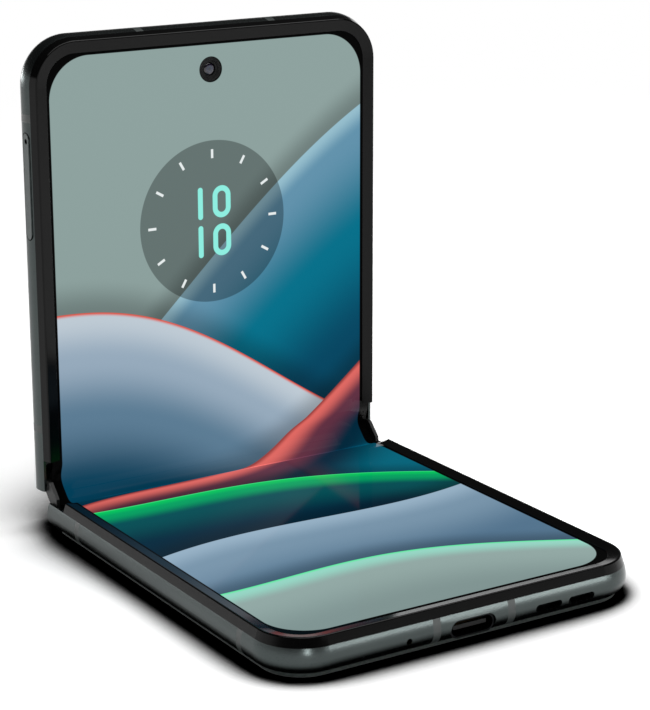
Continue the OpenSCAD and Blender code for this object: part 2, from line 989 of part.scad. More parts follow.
module main_board() {
    color("darkgreen")
        in_upper()
            difference() {
                board_blank(main_from, board_to, main_top);
                for (x = ring_x)
                    clear_block([x - module_w / 2, cam_s - module_w / 2, -2 * body_t],
                        [x + module_w / 2, cam_s + module_w / 2, 0]);
                translate([0, front_cam_s, -2 * body_t])
                    cylinder(d = front_cam_d + 1.4, h = 2 * body_t, $fn = 64);
                clear_block([-earpiece_w / 2, earpiece_from, -2 * body_t], [earpiece_w / 2, cavity_end, 0]);
                block([switch_x - 1, main_from - 1, -2 * body_t], [side_x, volume_s + volume_l / 2 + 1.2, 0]);
                screw_holes(main_screws);
            }
}

module can(low, high) {
    wall = 0.2;
    difference() {
        block(low, high);
        block([low[0] + wall, low[1] + wall, low[2] + wall], [high[0] - wall, high[1] - wall, high[2] + 1]);
    }
}

module shield_cans() {
    can_l = 12;
    can_h = 1.2;
    can_low = [main_from + 4, main_top - board_t - can_h];
    color("silver")
        in_upper()
            for (span = [[-30, -8], [-5, 12], [14, 26]])
                can([span[0], can_low[0], can_low[1]], [span[1], can_low[0] + can_l, can_low[1] + can_h]);
}

module front_camera() {
    color("black")
        in_upper() {
            translate([0, front_cam_s, mid_bottom - 1.6])
                cylinder(d = front_cam_d, h = 1.6, $fn = 64);
            translate([0, front_cam_s, mid_bottom - 0.1])
                cylinder(d = barrel_d, h = plate_top - mid_bottom - 0.1, $fn = 64);
        }
}

module front_camera_lens() {
    color("midnightblue")
        in_upper()
            translate([0, front_cam_s, plate_top - 0.2])
                cylinder(d = front_lens_d, h = 0.5, $fn = 64);
}

earpiece_from = front_cam_s + front_cam_d / 2 + slip;

module earpiece() {
    color("black")
        in_upper()
            block([-earpiece_w / 2, earpiece_from, mid_bottom - 2.6],
                [earpiece_w / 2, cavity_end - 0.2, mid_bottom - 0.05]);
}

// A key: its head in the wall's slot, a neck, and an ear behind the wall that holds it in.
module key_body(s, l, ear_l) {
    ear_t = 0.6;
    ear_h = 1;
    neck_h = key_w / 2 - 0.2;
    side_slot(1, s, l, key_w, key_z, cavity_x + 0.35, side_x + key_out);
    block([cavity_x - 0.75, s - l / 2 + 1, key_z - neck_h], [cavity_x + 0.4, s + l / 2 - 1, key_z + neck_h]);
    translate([cavity_x - 0.15 - ear_t, s - ear_l / 2, key_z - neck_h - ear_h + eps])
        cube([ear_t, ear_l, ear_h]);
}

module power_key() {
    color("dimgray")
        in_upper()
            key_body(power_s, power_l, power_l - 3);
}

module volume_key() {
    color("dimgray")
        in_upper()
            key_body(volume_s, volume_l, 6);
}

switch_x = cavity_x - 0.75 - key_travel - 0.1;

module switch(s) {
    block([switch_x - 0.6, s - 2, key_z - 1], [switch_x, s + 2, key_z + 0.8]);
    translate([switch_x - 0.5, s - 3, mid_bottom - 1.3])
        cube([0.5, 6, 1.3]);
}

module side_key_switches() {
    color("goldenrod")
        in_upper() {
            switch(power_s);
            for (s = [volume_s - volume_l / 3, volume_s + volume_l / 3])
                switch(s);
        }
}

module card_tray() {
    card_from = tray_s - tray_l / 2 + 2.8;
    color("dimgray")
        in_upper()
            difference() {
                union() {
                    side_slot(-1, tray_s, tray_l, tray_face_h, tray_z, side_x - tray_face_t, side_x - 0.02);
                    block([-side_x + tray_face_t - 0.1, tray_s - tray_l / 2 + 1, tray_z - tray_t / 2],
                        [-side_x + tray_d, tray_s + tray_l / 2 - 1, tray_z + tray_t / 2]);
                }
                block([-side_x + 2.6, card_from, tray_z - 0.3],
                    [-side_x + 2.6 + card_w, card_from + card_l, tray_z + 1]);
                translate([-side_x + 1, pin_s, tray_z + 0.1])
                    rotate([0, -90, 0])
                        cylinder(d = pin_d, h = 3, $fn = 32);
            }
}

module card_reader() {
    floor_t = 0.2;
    wide = tray_l / 2 - 1 + slip;
    color("silver")
        in_upper()
            difference() {
                block([-cavity_x + 0.6, tray_s - wide - 0.3, main_top],
                    [reader_x, tray_s + wide + 0.3, mid_bottom - eps]);
                block([-cavity_x, tray_s - wide, main_top + floor_t],
                    [-side_x + tray_d + slip, tray_s + wide, mid_bottom - floor_t]);
            }
}

module upper_screws() {
    color("silver")
        in_upper() {
            for (x = arm_x_upper, s = screw_s)
                arm_screw(x, s);
            for (p = main_screws)
                board_screw(p[0], p[1], main_top - board_t, mid_bottom - eps);
        }
}

module upper_hinge_arms() {
    color("lightsteelblue")
        in_upper()
            for (x = arm_x_upper)
                arm(x);
}

// ---- spine ----------------------------------------------------------------------------------
module spine_cover() {
    color("darkslategray")
        in_spine()
            difference() {
                across(0, 2 * spine_x)
                    difference() {
                        spine_outline(spine_r, spine_top);
                        spine_outline(spine_r - spine_wall, 1);
                    }
                for (x = arm_x_lower)
                    arm_way(x, 1);
                for (x = arm_x_upper)
                    arm_way(x, 0);
                block([-flex_way_x, -2 * spine_r, spine_top - 0.5], [flex_way_x, 2 * spine_r, 1]);
            }
}

module hinge_bracket_left() {
    color("slategray")
        in_spine()
            bracket(-bracket_out, -bracket_in);
}

module hinge_bracket_right() {
    color("slategray")
        in_spine()
            bracket(bracket_in, bracket_out);
}

module spine_end_caps() {
    cap_out = side_clear_x - 0.12;
    cap_in = spine_x + 0.02;
    guard_in = display_x + 0.12;
    color("black")
        in_spine()
            for (side = [0, 1])
                mirror([side, 0, 0]) {
                    across((cap_in + cap_out) / 2, cap_out - cap_in)
                        cap_outline(spine_top);
                    across((guard_in + cap_out) / 2, cap_out - guard_in)
                        cap_outline(1);
                    across((bracket_out + cap_in) / 2 + 0.02, cap_in - bracket_out)
                        spine_outline(bracket_r, bracket_top);
                }
}

module cap_outline(top) {
    intersection() {
        polygon([
            [-1.85, 0.9], [1.85, 0.9], [3.3, -0.3], [3.3, -0.9],
            [1.7, -2.1], [-1.7, -2.1], [-3.3, -0.9], [-3.3, -0.3]
        ]);
        translate([-5, -5])
            square([10, 5 + top]);
    }
}

// ---- parts that bend over the fold ----------------------------------------------------------
// Middle stretch of the display: a thin sheet round the inner corner of the fold.
fold_t = 0.35;

// A point of the lower half, the spine or the upper half, in the plane across the hinge.
function turned(p, a) = [p[0] * cos(a) - p[1] * sin(a), p[0] * sin(a) + p[1] * cos(a)];
function of_lower(s, z) = [axis_y - s, body_t + z];
function of_spine(y, z) = [axis_y, body_t] + turned([axis_half + y, z], rest_fold / 2);
function of_upper(s, z) =
    [axis_y, body_t] + turned([axis_gap, 0], rest_fold / 2) + turned([s, z], rest_fold);

module fold_sheet(half_w, points) {
    translate([-half_w, 0, 0])
        rotate([90, 0, 90])
            linear_extrude(2 * half_w)
                polygon(points);
}

module display_fold() {
    color("teal")
        fold_sheet(display_x, [
            of_lower(plate_start - 0.05, 0), of_lower(4, -0.25), of_lower(1.8, -0.4), of_spine(-0.6, -0.05),
            of_spine(0.6, -0.05), of_upper(1.8, -0.4), of_upper(4, -0.25), of_upper(plate_start - 0.05, 0),
            of_upper(plate_start - 0.05, -fold_t), of_upper(4, -0.25 - fold_t),
            of_upper(1.8, -0.36 - fold_t), of_spine(0.6, -0.05 - fold_t),
            of_spine(-0.6, -0.05 - fold_t), of_lower(1.8, -0.36 - fold_t), of_lower(4, -0.25 - fold_t),
            of_lower(plate_start - 0.05, -fold_t)
        ]);
}

module hinge_flex_cable() {
    color("orange")
        fold_sheet(flex_w / 2, concat(flex_line(0), reversed(flex_line(flex_t))));
}

// The cable's path: from inside one half, over its hinge bar, down into the spine and out again.
function flex_line(drop) = let (
    under = mid_bottom - 0.3 - drop,
    over = mid_top + 0.1 - drop,
    sag = -2.5 - drop
) [
    of_lower(beam_end + 5.8, under), of_lower(beam_end, under), of_lower(beam_end - 0.7, over - 0.25),
    of_lower(beam_end - 1.6, over), of_lower(beam_end - 3, over - 0.05),
    of_spine(-1.2, sag + 0.5), of_spine(0, sag), of_spine(1.2, sag + 0.5),
    of_upper(beam_end - 3, over - 0.05), of_upper(beam_end - 1.6, over),
    of_upper(beam_end - 0.7, over - 0.25), of_upper(beam_end, under), of_upper(beam_end + 5.8, under)
];
function reversed(list) = [for (i = [len(list) - 1 : -1 : 0]) list[i]];

lower_frame();
lower_antenna_bands();
lower_rim();
lower_display_plate();
display_lower();
lower_back_tape();
lower_back_cover();
lower_battery();
charge_board();
usb_shell();
usb_tongue();
loudspeaker();
speaker_mesh();
bottom_microphone();
haptic_motor();
lower_screws();
lower_hinge_arms();
upper_frame();
upper_antenna_bands();
upper_rim();
upper_display_plate();
display_upper();
upper_back_tape();
upper_back_cover();
cover_glass();
cover_display();
rear_camera_rings();
rear_camera_lenses();
rear_camera_modules();
flash_lens();
upper_battery();
main_board();
shield_cans();
front_camera();
front_camera_lens();
earpiece();
side_key_switches();
card_reader();
upper_screws();
upper_hinge_arms();
power_key();
volume_key();
card_tray();
spine_cover();
hinge_bracket_left();
hinge_bracket_right();
spine_end_caps();
display_fold();
hinge_flex_cable();
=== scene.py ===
# %% [markdown]
# # A folding phone, from its fixed frame to its finished looks
#
# The phone stands half folded, like a small laptop: one half lies flat, the other stands up, and one
# long display runs over both. The frame that this script loads already holds every hard piece at its
# real size, with its joints. What is left to make here is the light, the finish of each surface, and
# the few pieces whose shape plain solids can't give: the stretch of display that bends when the hinge
# turns, the cable inside the hinge, the lenses and the contacts in the charging socket.

import json
import math

import bpy
import numpy as np
from mathutils import Matrix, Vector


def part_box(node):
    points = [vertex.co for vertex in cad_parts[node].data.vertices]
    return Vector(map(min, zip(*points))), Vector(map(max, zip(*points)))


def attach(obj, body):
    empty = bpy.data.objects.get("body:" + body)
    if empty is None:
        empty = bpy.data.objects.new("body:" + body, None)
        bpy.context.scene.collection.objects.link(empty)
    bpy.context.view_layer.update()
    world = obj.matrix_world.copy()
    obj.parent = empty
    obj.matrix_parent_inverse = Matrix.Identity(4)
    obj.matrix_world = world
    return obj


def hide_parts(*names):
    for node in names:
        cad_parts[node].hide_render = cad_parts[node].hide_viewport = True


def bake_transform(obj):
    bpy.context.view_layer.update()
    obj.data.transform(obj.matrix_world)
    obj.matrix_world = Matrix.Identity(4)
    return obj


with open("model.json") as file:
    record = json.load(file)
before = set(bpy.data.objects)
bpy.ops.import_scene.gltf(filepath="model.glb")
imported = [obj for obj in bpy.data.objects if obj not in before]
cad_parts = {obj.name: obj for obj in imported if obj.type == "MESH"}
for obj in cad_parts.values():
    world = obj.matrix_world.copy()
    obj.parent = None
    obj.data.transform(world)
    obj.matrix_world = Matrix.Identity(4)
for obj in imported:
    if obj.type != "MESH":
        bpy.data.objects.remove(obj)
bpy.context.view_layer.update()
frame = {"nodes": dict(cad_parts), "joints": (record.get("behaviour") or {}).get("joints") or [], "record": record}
nodes = frame["nodes"]
MM = 0.001
print("pieces in the frame:", len(nodes))

# %% [markdown]
# ## Where the fold is
#
# Both fold axes run along X, in the display's own surface. The lower half turns about one, the upper
# half about the other, and the round spine sits between them. Everything that bends is worked out from
# these two axes, so they are read from the frame's joints instead of being typed in again.

# %% The two fold axes
joint_at = {joint["name"]: np.array(joint["pos_m"]) for joint in frame["joints"] if "pos_m" in joint}
lower_axis = joint_at["spine_fold"]
upper_axis = joint_at["upper_fold"]
spine_middle = (lower_axis + upper_axis) / 2
axis_gap = np.linalg.norm(upper_axis - lower_axis)
REST_TURN = math.atan2(upper_axis[2] - lower_axis[2], upper_axis[1] - lower_axis[1])
print(f"axes {axis_gap / MM:.2f} mm apart, spine leaning {math.degrees(REST_TURN):.0f} degrees")

# %% [markdown]
# ## The camera
#
# The view was found by matching edges of known length in the photograph, so the camera stands at a
# measured place. Its direction is kept as three plain angles: how far round the phone it stands, how
# high it looks from, and a slight roll. Three unit vectors, to its right, up and back, make its turn.

# %% Camera
CAMERA_AT = np.array((-201.88, -318.57, 146.04)) * MM
CAMERA_AROUND = math.radians(-32.0875)
CAMERA_ABOVE = math.radians(15.8156)
CAMERA_ROLL = math.radians(-0.1504)
CAMERA_LENS = 112.857                   # mm, for a sensor that is CAMERA_SENSOR mm long
CAMERA_SENSOR = 36


def facing(around, above, roll=0.0):
    """Columns right, up and back of a view from that far round and above, turned by roll about back.

    Back points from the subject to the viewer: (sin around cos above, -cos around cos above, sin above).
    """
    level = math.cos(above)
    back = np.array((math.sin(around) * level, -math.cos(around) * level, math.sin(above)))
    right = np.cross((0, 0, 1), back)
    right /= np.linalg.norm(right)
    up = np.cross(back, right)
    c, s = math.cos(roll), math.sin(roll)
    return np.stack([c * right + s * up, c * up - s * right, back], axis=1)


def put(thing, at, turn):
    """Links an object at a point, with the columns of turn as its own axes."""
    placed = np.eye(4)
    placed[:3, :3] = turn
    placed[:3, 3] = at
    bpy.context.scene.collection.objects.link(thing)
    thing.matrix_world = Matrix(placed.tolist())
    return thing


view = bpy.data.cameras.new("camera")
view.lens = CAMERA_LENS
view.sensor_width = CAMERA_SENSOR
view.clip_start = 10 * MM
bpy.context.scene.camera = put(bpy.data.objects.new("camera", view), CAMERA_AT,
                               facing(CAMERA_AROUND, CAMERA_ABOVE, CAMERA_ROLL))
bpy.context.scene.view_settings.view_transform = "Standard"
print("camera", (CAMERA_AT / MM).round(), "mm, lens", CAMERA_LENS, "mm")

# %% [markdown]
# ## Arithmetic on a surface
#
# A finish is a set of numbers that differ from place to place: how bright, how rough, how high. In
# Blender each one is a chain of Math nodes, and long chains are hard to read as node calls. The small
# class below lets a chain be written as the sum it is. Adding two fields adds one Math node.

# %% Fields
BLACK = (0, 0, 0, 1)
MIX_FIRST, MIX_SECOND, MIX_RESULT = 6, 7, 2     # the Mix node's colour sockets, which share their names


def add(tree, kind):
    """A new shader node of that kind in a tree."""
    return tree.nodes.new("ShaderNode" + kind)


def feed(hole, value):
    """Gives an input socket either a plain number or colour, or the output of another node."""
    if isinstance(value, Field):
        value = value.socket
    if isinstance(value, bpy.types.NodeSocket):
        hole.id_data.links.new(value, hole)
    else:
        hole.default_value = value


class Field:
    """A number that differs over a surface: one output socket of a node tree."""

    def __init__(self, socket):
        self.socket = socket

    def math(self, operation, *others):
        """One Math node on this field and others, which are fields or plain numbers."""
        made = add(self.socket.id_data, "Math")
        made.operation = operation
        for hole, value in zip(made.inputs, (self, *others)):
            feed(hole, value)
        return Field(made.outputs[0])

    def __add__(self, other):
        return self.math("ADD", other)

    def __sub__(self, other):
        return self.math("SUBTRACT", other)

    def __mul__(self, other):
        return self.math("MULTIPLY", other)

    def __truediv__(self, other):
        return self.math("DIVIDE", other)

    def rise(self, start, end):
        """0 below start, 1 above end, and a smooth S between them."""
        made = add(self.socket.id_data, "MapRange")
        made.interpolation_type = "SMOOTHSTEP"
        feed(made.inputs["Value"], self)
        feed(made.inputs["From Min"], start)
        feed(made.inputs["From Max"], end)
        return Field(made.outputs["Result"])

    def span(self, low, high):
        """Stretches a field of 0 to 1 over low to high."""
        return self.math("MULTIPLY_ADD", high - low, low)


def seen(red, green, blue):
    """A colour as a screen shows it, 0 to 255, turned into the linear light that a shader takes."""
    shown = np.array((red, green, blue)) / 255
    linear = np.where(shown <= 0.04045, shown / 12.92, ((shown + 0.055) / 1.055) ** 2.4)
    return (*linear.tolist(), 1.0)


def between(share, first, second):
    """The colour that is first where share is 0, second where it is 1, and a mixture between."""
    made = add(share.socket.id_data, "Mix")
    made.data_type = "RGBA"
    feed(made.inputs["Factor"], share)
    feed(made.inputs[MIX_FIRST], first)
    feed(made.inputs[MIX_SECOND], second)
    return made.outputs[MIX_RESULT]


def along(field, stops):
    """A colour that follows a field through stops: each a position, then red, green and blue as seen."""
    made = add(field.socket.id_data, "ValToRGB")
    ramp = made.color_ramp
    ramp.interpolation = "EASE"
    low, high = stops[0][0], stops[-1][0]
    while len(ramp.elements) < len(stops):
        ramp.elements.new(0.5)
    for element, (position, *shown) in zip(ramp.elements, stops):
        element.position = (position - low) / (high - low)
        element.color = seen(*shown)
    feed(made.inputs[0], (field - low) / (high - low))
    return made.outputs["Color"]

# %% [markdown]
# ## Floor, and a background that stays white
#
# The photograph has a white background with a nearly black shadow hugging the phone. A plain pale
# floor would come out light grey. So the floor is brighter than white to the camera, and to the rays
# that metal and glass send out: lit floor clips to pure white. The shadow right beside the phone is
# deepened by how much of the sky above each point of the floor is hidden by what is within reach.
# Far from the phone, where the lamps hardly reach, the floor shines by itself with a strength of 1.

# %% Floor
FLOOR_SIDE = 12.0
FLOOR_SHADE = 0.80
FLOOR_CLIPPED = 1.5
FAR_FLOOR = (0.25, 0.60)                # metres from the middle over which the floor turns self-lit
HUG_REACH = 45 * MM                     # how far off the phone still darkens the floor
HUG_OPEN = (0.58, 0.92)                 # open sky at which the floor is black, and at which it is full
HUG_SAMPLES = 32


def floor_finish():
    """Matte floor, darkened near the phone, and brighter to rays by which it is seen or mirrored."""
    material = bpy.data.materials.new("pale_floor")
    material.use_nodes = True
    tree = material.node_tree
    tree.nodes.clear()
    rays = add(tree, "LightPath").outputs
    matte = add(tree, "BsdfDiffuse")
    output = add(tree, "OutputMaterial")
    hidden = add(tree, "AmbientOcclusion")
    hidden.inputs["Distance"].default_value = HUG_REACH
    hidden.samples = HUG_SAMPLES
    hug = Field(hidden.outputs["AO"]).rise(*HUG_OPEN)
    looked_at = (Field(rays["Is Camera Ray"]) + rays["Is Glossy Ray"]
                 + rays["Is Transmission Ray"]).math("MINIMUM", 1)
    plain = (FLOOR_SHADE,) * 3 + (1,)
    clipped = (FLOOR_CLIPPED,) * 3 + (1,)
    shade = between(looked_at, plain, clipped)
    feed(matte.inputs["Color"], between(hug, BLACK, shade))
    spot = add(tree, "SeparateXYZ")
    feed(spot.inputs[0], add(tree, "TexCoord").outputs["Object"])
    x, y = Field(spot.outputs[0]), Field(spot.outputs[1])
    far = (x * x + y * y).math("SQRT").rise(*FAR_FLOOR)
    white = add(tree, "Emission")
    blend = add(tree, "MixShader")
    feed(blend.inputs[0], far * looked_at)
    feed(blend.inputs[1], matte.outputs[0])
    feed(blend.inputs[2], white.outputs[0])
    feed(output.inputs["Surface"], blend.outputs[0])
    return material


def sheet_mesh(name, corners):
    """One flat face through the corners."""
    mesh = bpy.data.meshes.new(name)
    mesh.from_pydata(corners, [], [tuple(range(len(corners)))])
    return mesh


half_floor = FLOOR_SIDE / 2
floor = bpy.data.objects.new("floor", sheet_mesh("floor", [
    (-half_floor, -half_floor, 0), (half_floor, -half_floor, 0),
    (half_floor, half_floor, 0), (-half_floor, half_floor, 0)]))
floor.data.materials.append(floor_finish())
bpy.context.scene.collection.objects.link(floor)
print("floor", FLOOR_SIDE, "m wide")

# %% [markdown]
# ## Studio light
#
# Dark satin metal has almost no colour of its own: it shows the lamps. A big soft lamp overhead lights
# everything plainly, and small low ones draw the soft streaks that the photograph has on the long
# walls and the corner. Each lamp is given by where it stands and what it points at, and its power is
# set per square metre of lamp, so making one larger doesn't make it brighter to look at.
#
# The air round the phone is white near the horizon and dim higher up, like a studio with a pale wall.
# That leaves the glossy black parts truly black, with one thin bright line where they turn. The low
# lamps draw streaks on the outer shell alone, its metal, bands and covers, so they are linked to a
# collection that holds only those pieces: no low lamp is mirrored by the black rims or the display.

# %% Lamps
SHELL_SLOTS = ("frame_metal", "antenna_band", "key_metal", "back_cover", "spine_metal", "ring_metal")
shell = bpy.data.collections.new("shell")
for row in frame["record"]["subparts"]:
    if row["material_slot"] in SHELL_SLOTS:
        shell.objects.link(nodes[row["node"]])
LAMP_AIM = np.array((0, 0, 30)) * MM


def softbox(name, around, above, distance, width, height, brightness, lights=None):
    """A rectangular lamp that far round and above LAMP_AIM, in degrees, and away from it, in metres.

    Brightness is its radiance, and lights is the collection that it lights, or None for everything.
    """
    lamp = bpy.data.lights.new(name, "AREA")
    lamp.shape = "RECTANGLE"
    lamp.size = width
    lamp.size_y = height
    lamp.energy = brightness * math.pi * width * height
    turn = facing(math.radians(around), math.radians(above))
    made = put(bpy.data.objects.new(name, lamp), LAMP_AIM + turn[:, 2] * distance, turn)
    made.visible_camera = False
    made.light_linking.receiver_collection = lights


# Degrees round and above, metres away, metres wide and high, brightness, and what it lights.
softbox("top_softbox", 20, 80, 1.1, 1.4, 1.2, 2.4)
softbox("left_softbox", -157, 4, 1.0, 0.50, 0.11, 10.0, shell)
softbox("right_softbox", 34, 4, 1.0, 0.42, 0.08, 14.0, shell)
softbox("front_softbox", -19, 5, 0.9, 0.12, 0.14, 20.0, shell)
softbox("back_softbox", 110, 60, 1.3, 0.8, 0.5, 1.4)

WALL_TOP = (7, 12)                      # degrees above the horizon between which the pale wall fades
WALL_LIGHT = 1.0
ROOM_LIGHT = 0.05


def room():
    """The world: pale up to the top of the wall, dim above, by the height of each direction."""
    world = bpy.data.worlds.new("studio")
    world.use_nodes = True
    tree = world.node_tree
    direction = add(tree, "SeparateXYZ")
    feed(direction.inputs[0], add(tree, "TexCoord").outputs["Generated"])
    low, high = (math.sin(math.radians(angle)) for angle in WALL_TOP)
    fade = Field(direction.outputs[2]).rise(low, high)
    feed(tree.nodes["Background"].inputs["Strength"], fade.span(WALL_LIGHT, ROOM_LIGHT))
    tree.nodes["Background"].inputs["Color"].default_value = (1, 1, 1, 1)
    return world


bpy.context.scene.world = room()

# %% [markdown]
# ## One way to make every finish
#
# Each material of the phone is one Principled shader. What is the same all over is a plain number on the
# shader's own socket, and what differs from place to place comes from a pattern. The patterns read
# Object coordinates, so they stay put on a piece when it moves. Their sizes are given in metres, the
# width of one grain or blob, because that is what can be compared with the real thing.

# %% Finish
class Finish:
    """A material with one Principled shader, and the patterns that drive it."""

    def __init__(self, name, **sockets):
        self.material = bpy.data.materials.new(name)
        self.material.use_nodes = True
        self.tree = self.material.node_tree
        self.shader = self.tree.nodes["Principled BSDF"]
        for socket, value in sockets.items():
            self.give(socket.replace("_", " ").title().replace("Ior", "IOR"), value)

    def give(self, socket, value):
        """Feeds one socket of the shader with a plain number or colour, or with a pattern."""
        feed(self.shader.inputs[socket], value)

    def spot(self):
        """Where a point is on its piece, in metres."""
        return add(self.tree, "TexCoord").outputs["Object"]

    def parts(self, vector):
        """The x, y and z of a vector, as three fields."""
        made = add(self.tree, "SeparateXYZ")
        feed(made.inputs[0], vector)
        return [Field(output) for output in made.outputs]

    def noise(self, size, detail=2.0, stretch=(1, 1, 1)):
        """Cloudy noise around 0.5, with blobs size metres wide, drawn out along each axis by stretch."""
        place = add(self.tree, "Mapping")
        feed(place.inputs["Vector"], self.spot())
        place.inputs["Scale"].default_value = [1 / s for s in stretch]
        made = add(self.tree, "TexNoise")
        feed(made.inputs["Vector"], place.outputs[0])
        made.inputs["Scale"].default_value = 1 / size
        made.inputs["Detail"].default_value = detail
        return Field(made.outputs[0])

    def cells(self, size, feature="F1"):
        """Distance from the middle of packed cells, or from their borders, 0 to about 1."""
        made = add(self.tree, "TexVoronoi")
        made.feature = feature
        feed(made.inputs["Vector"], self.spot())
        made.inputs["Scale"].default_value = 1 / size
        return Field(made.outputs["Distance"])

    def relief(self, height, depth):
        """Raises the surface by height, 0 to 1, times depth in metres, as the light sees it."""
        made = add(self.tree, "Bump")
        made.inputs["Strength"].default_value = 1
        made.inputs["Distance"].default_value = depth
        feed(made.inputs["Height"], height)
        self.give("Normal", made.outputs[0])

    def done(self, colour, roughness, height=None, depth=0):
        """The finished material, with its colour, its roughness and, if it has any, its relief."""
        self.give("Base Color", colour)
        self.give("Roughness", roughness)
        if height is not None:
            self.relief(height, depth)
        return self.material

    def driven_by(self, pattern, first, second, roughness, depth):
        """The finished material when one pattern, 0 to 1, sets its colour, roughness and relief."""
        return self.done(between(pattern, first, second), pattern.span(*roughness), pattern, depth)

# %% [markdown]
# ## Satin metal of the two frames
#
# The side walls are anodised aluminium, blasted before it is dyed, which leaves a fine even grain and
# a dark grey-green colour. A mirror would show the lamps sharply and paint would hide them, so this is
# full metal with a roughness between the two. Two noises work on it: one of tenths of a millimetre for
# the blasted grain, and a broad faint one, because no dye bath colours a whole wall evenly.

# %% Frame metal
def frame_metal():
    """Dark anodised aluminium: fine grain in its relief, broad faint clouds in its colour."""
    metal = Finish("frame_metal", metallic=1.0)
    clouds = metal.noise(18 * MM, detail=3)
    grain = metal.noise(0.16 * MM, detail=1)
    colour = between(clouds, seen(60, 66, 66), seen(72, 78, 77))
    return metal.done(colour, grain.span(0.20, 0.31), grain, 0.0012 * MM)


def key_metal():
    """The keys and the tray's face: the same metal, milled, so its grain runs along the wall."""
    metal = Finish("key_metal", metallic=1.0)
    lines = metal.noise(0.12 * MM, detail=1, stretch=(1, 1, 24))
    return metal.driven_by(lines, seen(58, 64, 64), seen(72, 78, 77), (0.22, 0.32), 0.0015 * MM)


def antenna_band():
    """Filled nylon that lets the radio out: a shade darker than the metal, matte, with short fibres."""
    nylon = Finish("antenna_band", specular_ior_level=0.5)
    fibres = nylon.noise(0.2 * MM, detail=3, stretch=(1, 1, 5))
    return nylon.driven_by(fibres, seen(48, 53, 52), seen(62, 68, 67), (0.35, 0.50), 0.003 * MM)


finishes = {"frame_metal": frame_metal(), "key_metal": key_metal(), "antenna_band": antenna_band()}
print("made", sorted(finishes))

# %% [markdown]
# ## The glossy black rim
#
# Round each half's display stands a moulded rim. It is black and polished, so nearly all that shows of
# it is what it mirrors: faint lines along its crest. Its specular level is low, because a full one
# would turn whole slopes grey. Moulding leaves a slight waviness, which breaks the lines up a little.

# %% Rim
def rim():
    """Polished black plastic with the faint waviness of a moulding."""
    gloss = Finish("rim", specular_ior_level=0.16)
    waves = gloss.noise(6 * MM)
    return gloss.done(seen(4, 4, 4), waves.span(0.08, 0.15), waves, 0.01 * MM)


finishes["rim"] = rim()
print("added the finish", finishes["rim"].name)

# %% [markdown]
# ## What the display shows
#
# A lit display is a lamp, not a painted surface, so its picture goes into the shader's emission at a
# strength of 1, over a nearly black base. The picture is a set of soft hills, each one a wavy crest
# with its colours falling away below it, laid from the far one to the near one. It is worked out
# from two numbers: x across the display, and t along it, both in millimetres, with t = 0 in the
# middle of the fold. Flat or bent, each piece only has to know its own x and t.

# %% The picture's hills
LIT_SIDE = 33.2                         # the lit area: half its width, its two ends and its corners
LIT_LOW = -81.1
LIT_HIGH = 81.64
LIT_ROUND = 8.0
SKY = (seen(128, 149, 146), seen(142, 162, 159))

# Each hill: height, slope, swing, wavelength and phase of its crest, then its colours from the crest
# down: how deep, and the red, green and blue there.
HILLS = (
    (39, 0.62, 8, 150, 0.3,
     ((0, 150, 190, 205), (5, 98, 146, 172), (24, 0, 112, 138), (46, 0, 70, 98))),
    (20, -0.30, 7, 118, 2.4,
     ((0, 222, 74, 48), (0.8, 190, 202, 212), (9, 150, 170, 188), (20, 92, 124, 148), (34, 0, 62, 88))),
    (1, 0.42, 6, 96, 4.2,
     ((0, 150, 60, 58), (1.2, 222, 104, 98), (6, 96, 48, 66), (13, 0, 40, 60), (30, 0, 100, 122))),
    (-19, -0.34, 7, 130, 0.9,
     ((0, 70, 236, 140), (0.5, 0, 196, 92), (3, 0, 160, 96), (8, 0, 78, 84), (20, 0, 40, 60))),
    (-37, 0.30, 8, 142, 3.1, ((0, 150, 176, 196), (8, 120, 148, 170), (24, 84, 116, 142))),
    (-63, -0.22, 5, 104, 1.2,
     ((0, 96, 236, 160), (1.0, 150, 214, 196), (6, 146, 168, 164), (20, 128, 148, 146))),
)
HILL_SHADE = 0.4                        # how dark a hill's shade is on the one behind it
HILL_SHADE_REACH = 7.0
HILL_EDGE = 0.1                         # softness of a crest's edge


def hills(x, t):
    """The picture's colour at x, t: a hill covers what lies below its crest and shades what is behind.

    A crest is height + slope x + swing sin(2 pi x / wavelength + phase).
    """
    colour = between(t.rise(LIT_LOW, LIT_HIGH), *SKY)
    for height, slope, swing, wavelength, phase, colours in HILLS:
        ripple = (x * (2 * math.pi / wavelength) + phase).math("SINE") * swing
        depth = ripple + x * slope + height - t
        colour = between(depth.rise(-HILL_SHADE_REACH, 0) * HILL_SHADE, colour, BLACK)
        colour = between(depth.rise(-HILL_EDGE, HILL_EDGE), colour, along(depth, colours))
    return colour

# %% [markdown]
# ## A clock on the upper half
#
# A dark see-through disc carries plain numerals in pale green and twelve white marks round its edge.
# Every shape here is a distance turned into an edge: a disc is the distance from a point, a numeral's
# stroke is the distance from its centre line. Shapes made this way stay sharp however close one looks.

# %% Clock
CLOCK_T = 48.0
CLOCK_RADIUS = 15.6
CLOCK_SHADE = 0.52
MARKS = 12
MARK_INNER = 12.2
MARK_OUTER = 13.9
MARK_WIDTH = 0.5
FIGURE_HEIGHT = 6.2
FIGURE_WIDTH = 3.9
FIGURE_STROKE = 1.05
FIGURE_ROWS = (3.7, -3.7)               # height of each row above the middle of the clock
ONE_X = -2.7
NOUGHT_X = 1.9
EDGE = 0.06                             # softness of a drawn edge
FIGURE_TINT = seen(142, 238, 224)
MARK_TINT = seen(232, 238, 238)


def inside(distance, reach):
    """1 where a distance is less than reach, 0 beyond, with a soft edge."""
    return (distance * -1).rise(-reach - EDGE, -reach + EDGE)


def length(a, b):
    """Length of a vector with sides a and b."""
    return (a * a + b * b).math("SQRT")


def past(field, middle, half):
    """How far a field lies more than half away from middle, on either side, and 0 within that."""
    return ((field - middle).math("ABSOLUTE") - half).math("MAXIMUM", 0)


